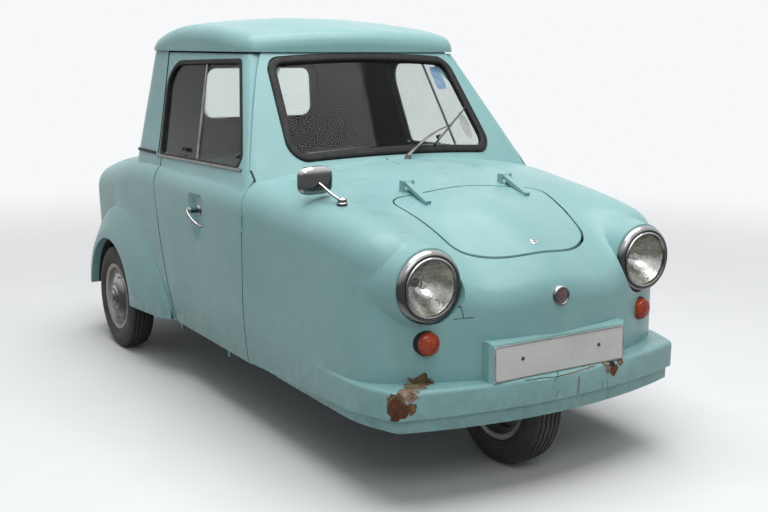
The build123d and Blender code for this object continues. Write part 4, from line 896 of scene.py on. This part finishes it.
def plate_details():
    tilt = Matrix.Rotation(math.radians(-2), 4, "X")

    def place(u, v):
        return PLATE_CENTRE + tilt @ Vector((u, -2.4, v))

    edge = Build("plate_edge", "plate_face", "alloy")
    corners = [(u * PLATE_HALF_X, v * PLATE_HALF_Z, 6) for u, v in ((-1, -1), (1, -1), (1, 1), (-1, 1))]
    edge.sweep(stations_on(rounded_outline(corners), place),
               [(-2.2, -1), (-2.2, 0.8), (-1, 1.6), (1, 1.6), (2.2, 0.8), (2.2, -1)])
    edge.done(40)
    cap = [(-1, 6), (1.5, 6), (3, 4.5), (3.4, 0)]
    screws = [place(-150, 6), place(150, 6)]
    turned("plate_screw_caps", "black_plastic", "plastic", screws, FORWARD, cap, 20, 40)


# Wheels and tyres
WHEELS = (
    ("front", 0, -1070, 1, "front_roll"),
    ("rear_left", 600, 905, 1, "rear_left"),
    ("rear_right", -600, 905, -1, "rear_right"),
)
AXLE_Z = 228.0
TREAD_R = 228.0
# Half of the tyre's wall, from bead to tread: across and radius, with fine ribs
TYRE_WALL = [
    (40, 134.4), (43.5, 137), (45, 143), (44.6, 147), (47, 149), (50, 155), (52.3, 162), (52.1, 163.5),
    (53.6, 165), (55.2, 174), (55, 175.6), (56.2, 177), (56.4, 190), (55, 197), (53, 203), (50.6, 208.5),
    (50.2, 212), (48, 217.5), (44.5, 222),
]
TREAD_RIBS = [(41, 37), (32, 20.5), (14.5, 3)]
GROOVE_DEPTH = 6.5
# Section of a rim with its disc, from the inner edge round the outside and back through the disc's back
RIM_SECTION = [
    (-48, 144), (-48, 146.5), (-45, 147.5), (-43, 146), (-42, 138), (-40, 134.5), (-32, 133.5), (-28, 131),
    (-18, 119), (-14, 117.5), (14, 117.5), (18, 119), (26, 130), (30, 133.5), (40, 134.5), (42, 138),
    (43, 146), (45, 147.5), (48, 146.5), (48.5, 144), (47, 137), (44.5, 130.5), (40, 128), (30, 127.2),
    (22, 121), (17, 112.5), (15.5, 109), (18, 106), (24, 98), (28.5, 88), (32, 76), (34, 64), (34.5, 50),
    (34.5, 27.5), (27, 27.5), (27, 60), (22, 82), (10, 106), (4, 112), (-14, 112), (-22, 120), (-30, 127),
    (-42, 128.5), (-46, 134),
]
DRUM_SECTION = [(-28, 24.3), (-28, 68), (-26, 70), (-18, 82), (-16, 84), (4, 84), (8, 80), (20, 60), (26, 54),
                (26, 24.3)]


def tread_height(across):
    return TREAD_R - 4.2 * (across / 42) ** 2


def zigzag(k):
    """Sideways shift of a tread rib's edge at step k round the tyre."""
    return 2.0 * (4 * abs((k % 6) / 6.0 - 0.5) - 1)


def tyre(name, x, y, body):
    half = [(across, radius, False) for across, radius in TYRE_WALL]
    for outer, inner in TREAD_RIBS:
        floor = tread_height(inner) - GROOVE_DEPTH
        half += [(outer, tread_height(outer), True), (inner, tread_height(inner), True),
                 (inner - 0.6, floor, True), (inner - 4.4 if inner > 4 else 0, floor, True)]
    section = half + [(-across, radius, tread) for across, radius, tread in reversed(half) if across > 0.01]
    section += [(-38, 134.4, False), (38, 134.4, False)]
    rings = []
    for across, radius, tread in section:
        wavy = tread and abs(across) < 38
        rings.append([Vector((x + across + (zigzag(k) if wavy else 0), y + radius * c, AXLE_Z + radius * s))
                      for k, (c, s) in enumerate(circle(168))])
    piece = Build(f"{name}_tyre_tread", "tyre", "tyre", body)
    piece.ring_faces(rings, closed=True)
    piece.done(38, f"{name}_tyre")


def wheel_disc(name, x, y, facing, body):
    axle = (facing, 0, 0)

    def on_face(along, radius, angle):
        return Vector((x + facing * along, y + radius * math.cos(angle), AXLE_Z + radius * math.sin(angle)))

    disc = Build(f"{name}_rim_disc", "wheel_paint", "wheel", body)
    turns = [2 * math.pi * k / 96 for k in range(96)]
    rings = [[on_face(along, radius, angle) for angle in turns] for along, radius in RIM_SECTION]
    disc.ring_faces(rings, closed=True)
    disc.lathe(DRUM_SECTION, (x, y, AXLE_Z), axle, 64, True)
    valve = [(-6, 5), (4, 4.6), (6, 3.4), (20, 3.2), (21, 4.4), (27, 4.4), (28, 0)]
    disc.lathe(valve, on_face(36, 122, 2.2), axle, 20)
    disc.done(38, f"{name}_wheel")
    if name != "front":
        return
    nuts = Build(f"{name}_wheel_nuts", "cap_metal", "cap", body)
    for k in range(4):
        place = on_face(34, 50, 2 * math.pi * (k + 0.5) / 4)
        nuts.lathe([(-2, 10), (1, 10), (3, 9)], place, axle, 24)
        nuts.lathe([(2, 8.6), (12, 8.6), (14, 7), (15, 4), (15.2, 0)], place, axle, 6)
    nuts.done(30)


def hub_caps():
    key = [(30, 99), (28.5, 102), (30, 104.3), (33, 104.6), (36, 102.5), (37.4, 98), (40, 92), (44.5, 84),
           (49, 74), (52.5, 64), (54, 57), (53.6, 53), (54.6, 49.5), (58, 46), (60.5, 40), (61.6, 33),
           (61.4, 29), (62.6, 26), (65.5, 22), (67.4, 15), (68.2, 8), (68.4, 0)]
    line = [(p.x, max(p.y, 0)) for p in smooth_line([(along, radius, 0) for along, radius in key], 3)]
    for name, x, y, facing, body in WHEELS[1:]:
        turned(f"{name}_cap_dome", "cap_metal", "cap", [(x, y, AXLE_Z)], (facing, 0, 0), line, 96, 50,
               hide=f"{name}_hub_cap", body=body)


def stickers():
    """Plain paper shapes behind the windscreen, without words."""
    for name, kind, x, z, half_x, half_z, power in (("paper_square", "blue_paper", 330, 1222, 25, 42, 0.35),
                                                    ("paper_disc", "cream_paper", 366, 1046, 21, 50, 1)):
        rings = []
        for scale in (1, 0.5):
            outline = squircle(half_x * scale, half_z * scale, power, 48)
            rings.append([screen_point(x + u, z + v) + Vector((0, 15.5, -12)) for u, v in outline])
        piece = Build(name, "plate_face", kind)
        start = piece.ring_faces(rings)
        piece.cap(start + 48, 48)
        piece.done(60)


# Seat pads
CLOTH_MARGIN = 18.0     # the cloth starts this far inside the solid and swells out
SWELL_LIMIT = 17.0
CLOTH_FRAMES = 20
PANEL_EDGE_X = 0.06     # the sewn panel ends this far from the pad's sides
PANEL_EDGE = 0.045
SEAM_WIDTH = 0.006
CHANNEL_DEPTH = 0.007
EDGE_DEPTH = 0.006
CHANNELS = 9
BACK_PAD_SIZE = (1010, 90, 505)
BACK_PAD_PLACE = (0, 0.59, 0.5923)
BACK_PAD_LEAN = 10     # degrees


def settle(pad):
    """Turns what a pad's modifiers give into its mesh."""
    graph = bpy.context.evaluated_depsgraph_get()
    settled = bpy.data.meshes.new_from_object(pad.evaluated_get(graph))
    pad.modifiers.clear()
    pad.data = settled


def swell(pad):
    """Blows the cloth up from inside, and holds each point near where it started."""
    still = [v.co.copy() for v in pad.data.vertices]
    cloth = pad.modifiers.new("cloth", "CLOTH")
    settings = cloth.settings
    settings.use_pressure = True
    settings.uniform_pressure_force = 4.0
    settings.quality = 5
    settings.effector_weights.gravity = 0.0
    for number in range(1, CLOTH_FRAMES + 1):
        bpy.context.scene.frame_set(number)
    settle(pad)
    bpy.context.scene.frame_set(1)
    for vertex, before in zip(pad.data.vertices, still):
        move = vertex.co - before
        if move.length > SWELL_LIMIT * MM:
            vertex.co = before + move.normalized() * SWELL_LIMIT * MM


def padded_seat(name, node, place, size, across):
    """A pad of swollen cloth, size in millimetres, with channels sewn on the side that faces axis across."""
    block = bmesh.new()
    bmesh.ops.create_cube(block, size=1)
    bmesh.ops.scale(block, vec=[(c - 2 * CLOTH_MARGIN) * MM for c in size], verts=block.verts)
    bmesh.ops.bevel(block, geom=block.edges[:], offset=0.026, segments=4, profile=0.5, affect="EDGES")
    mesh = bpy.data.meshes.new(name)
    block.to_mesh(mesh)
    block.free()
    pad = placed(name, mesh)
    remesh = pad.modifiers.new("remesh", "REMESH")
    remesh.mode = "VOXEL"
    remesh.voxel_size = 0.012
    settle(pad)
    swell(pad)
    divide = pad.modifiers.new("divide", "SUBSURF")
    divide.levels = 1
    divide.render_levels = 1
    settle(pad)
    half = [c * MM / 2 for c in size]
    other = 3 - across
    front = 1 if across == 2 else -1
    panel_x, panel = half[0] - PANEL_EDGE_X, half[other] - PANEL_EDGE
    step = 2 * panel_x / CHANNELS
    for vertex in pad.data.vertices:
        co = vertex.co
        if abs(co.x) < panel_x and abs(co[other]) < panel and co[across] * front > 0:
            offset = (co.x + panel_x) % step
            gap = min(offset, step - offset)
            edge = panel - abs(co[other])
            press = CHANNEL_DEPTH * math.exp(-(gap / SEAM_WIDTH) ** 2)
            press += EDGE_DEPTH * math.exp(-(edge / SEAM_WIDTH) ** 2)
            co[across] -= press * front
        co.z = max(co.z, -half[2])
    pad.data.transform(place)
    pad.data.materials.clear()
    pad.data.materials.append(MATERIALS["cloth"])
    pad.data.shade_smooth()
    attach(pad, "body")
    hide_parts(node)


def seats():
    box = NODES["seat_cushion"].bound_box
    low, high = Vector(box[0]), Vector(box[6])
    place = Matrix.Translation((low + high) / 2)
    padded_seat("seat_cushion_pad", "seat_cushion", place, (high - low) / MM, 2)
    place = Matrix.Translation(BACK_PAD_PLACE) @ Matrix.Rotation(math.radians(-BACK_PAD_LEAN), 4, "X")
    padded_seat("seat_back_pad", "seat_back", place, BACK_PAD_SIZE, 1)


# Camera, solved from the photograph: its place, and its own right, up and backward directions
CAMERA_PLACE = (-2.1316, -3.7296, 1.341)
CAMERA_AXES = ((0.848941, -0.528459, 0.005533), (0.096911, 0.165959, 0.981359),
               (-0.519527, -0.832579, 0.192103))


def make_camera():
    camera = bpy.data.cameras.new("camera")
    camera.lens = 50.784
    camera.clip_start = 0.05
    holder = placed("camera", camera)
    holder.matrix_world = Matrix.Translation(CAMERA_PLACE) @ Matrix(CAMERA_AXES).transposed().to_4x4()
    bpy.context.scene.camera = holder


# Room: two lamps, a faint sky and a floor that fades into the pale background
BACKGROUND = (0.93, 0.94, 0.95)
SKY_LIGHT = (0.9, 0.95, 1)
FLOOR_LIT = (0.42, 0.42, 0.41)     # what light meets
FLOOR_SEEN = ((0.8, 0.81, 0.81), (0.86, 0.86, 0.86))     # what the camera meets
FLOOR_HALF = 14.0
FADE_START, FADE_END = 1.6, 6.5


def area_light(name, place, target, size, power):
    data = bpy.data.lights.new(name, "AREA")
    data.shape = "RECTANGLE"
    data.size = size[0]
    data.size_y = size[1]
    data.energy = power
    aim = Vector(target) - Vector(place)
    turn = aim.to_track_quat("-Z", "Y").to_matrix().to_4x4()
    placed(name, data).matrix_world = Matrix.Translation(place) @ turn


def make_world():
    world = bpy.data.worlds.new("room")
    bpy.context.scene.world = world
    world.use_nodes = True
    nodes = Nodes(world.node_tree)
    light = nodes.tree.nodes["Background"]
    nodes.fill(light.inputs["Color"], SKY_LIGHT)
    nodes.fill(light.inputs["Strength"], 0.2)
    seen = nodes.add("ShaderNodeBackground", {"Color": BACKGROUND})
    mix = nodes.add("ShaderNodeMixShader", {0: nodes.camera_sees(), 1: light.outputs[0], 2: seen.outputs[0]})
    nodes.link(mix.outputs[0], nodes.tree.nodes["World Output"].inputs[0])


def make_floor():
    mesh = bpy.data.meshes.new("floor")
    corners = [(x * FLOOR_HALF, y * FLOOR_HALF, 0) for x, y in ((-1, -1), (1, -1), (1, 1), (-1, 1))]
    mesh.from_pydata(corners, [], [(0, 1, 2, 3)])
    floor = placed("floor", mesh)
    shade = Shade("floor_paint", Roughness=0.75)
    seen = shade.camera_sees()
    shade.colour(shade.mix(seen, FLOOR_LIT, shade.mix(shade.noise(3, 2, 0.5), *FLOOR_SEEN)))
    fade = shade.range(shade.vector("LENGTH", shade.place, output="Value"), FADE_START, FADE_END)
    fade.node.interpolation_type = "SMOOTHSTEP"
    far = shade.add("ShaderNodeEmission", {"Color": BACKGROUND})
    share = shade.times(fade, seen)
    blend = shade.add("ShaderNodeMixShader", {0: share, 1: shade.shader.outputs[0], 2: far.outputs[0]})
    shade.link(blend.outputs[0], shade.tree.nodes["Material Output"].inputs["Surface"])
    mesh.materials.append(shade.material)


for make in (window_rubbers, door_windows, pillar_strips, headlamps, small_lamps, nose_badge, bonnet_lock,
             washer_jet, wiper, mirror, door_handles, plate_details, hub_caps, stickers, seats):
    make()
for wheel_name, wheel_x, wheel_y, wheel_facing, wheel_body in WHEELS:
    tyre(wheel_name, wheel_x, wheel_y, wheel_body)
    wheel_disc(wheel_name, wheel_x, wheel_y, wheel_facing, wheel_body)

make_camera()
make_world()
make_floor()
area_light("key", (-2.2, -5.2, 4.6), (0, -0.2, 0.5), (3.4, 2.4), 75)
area_light("top", (0, -0.6, 6.4), (0, -0.1, 0.6), (6, 6), 440)
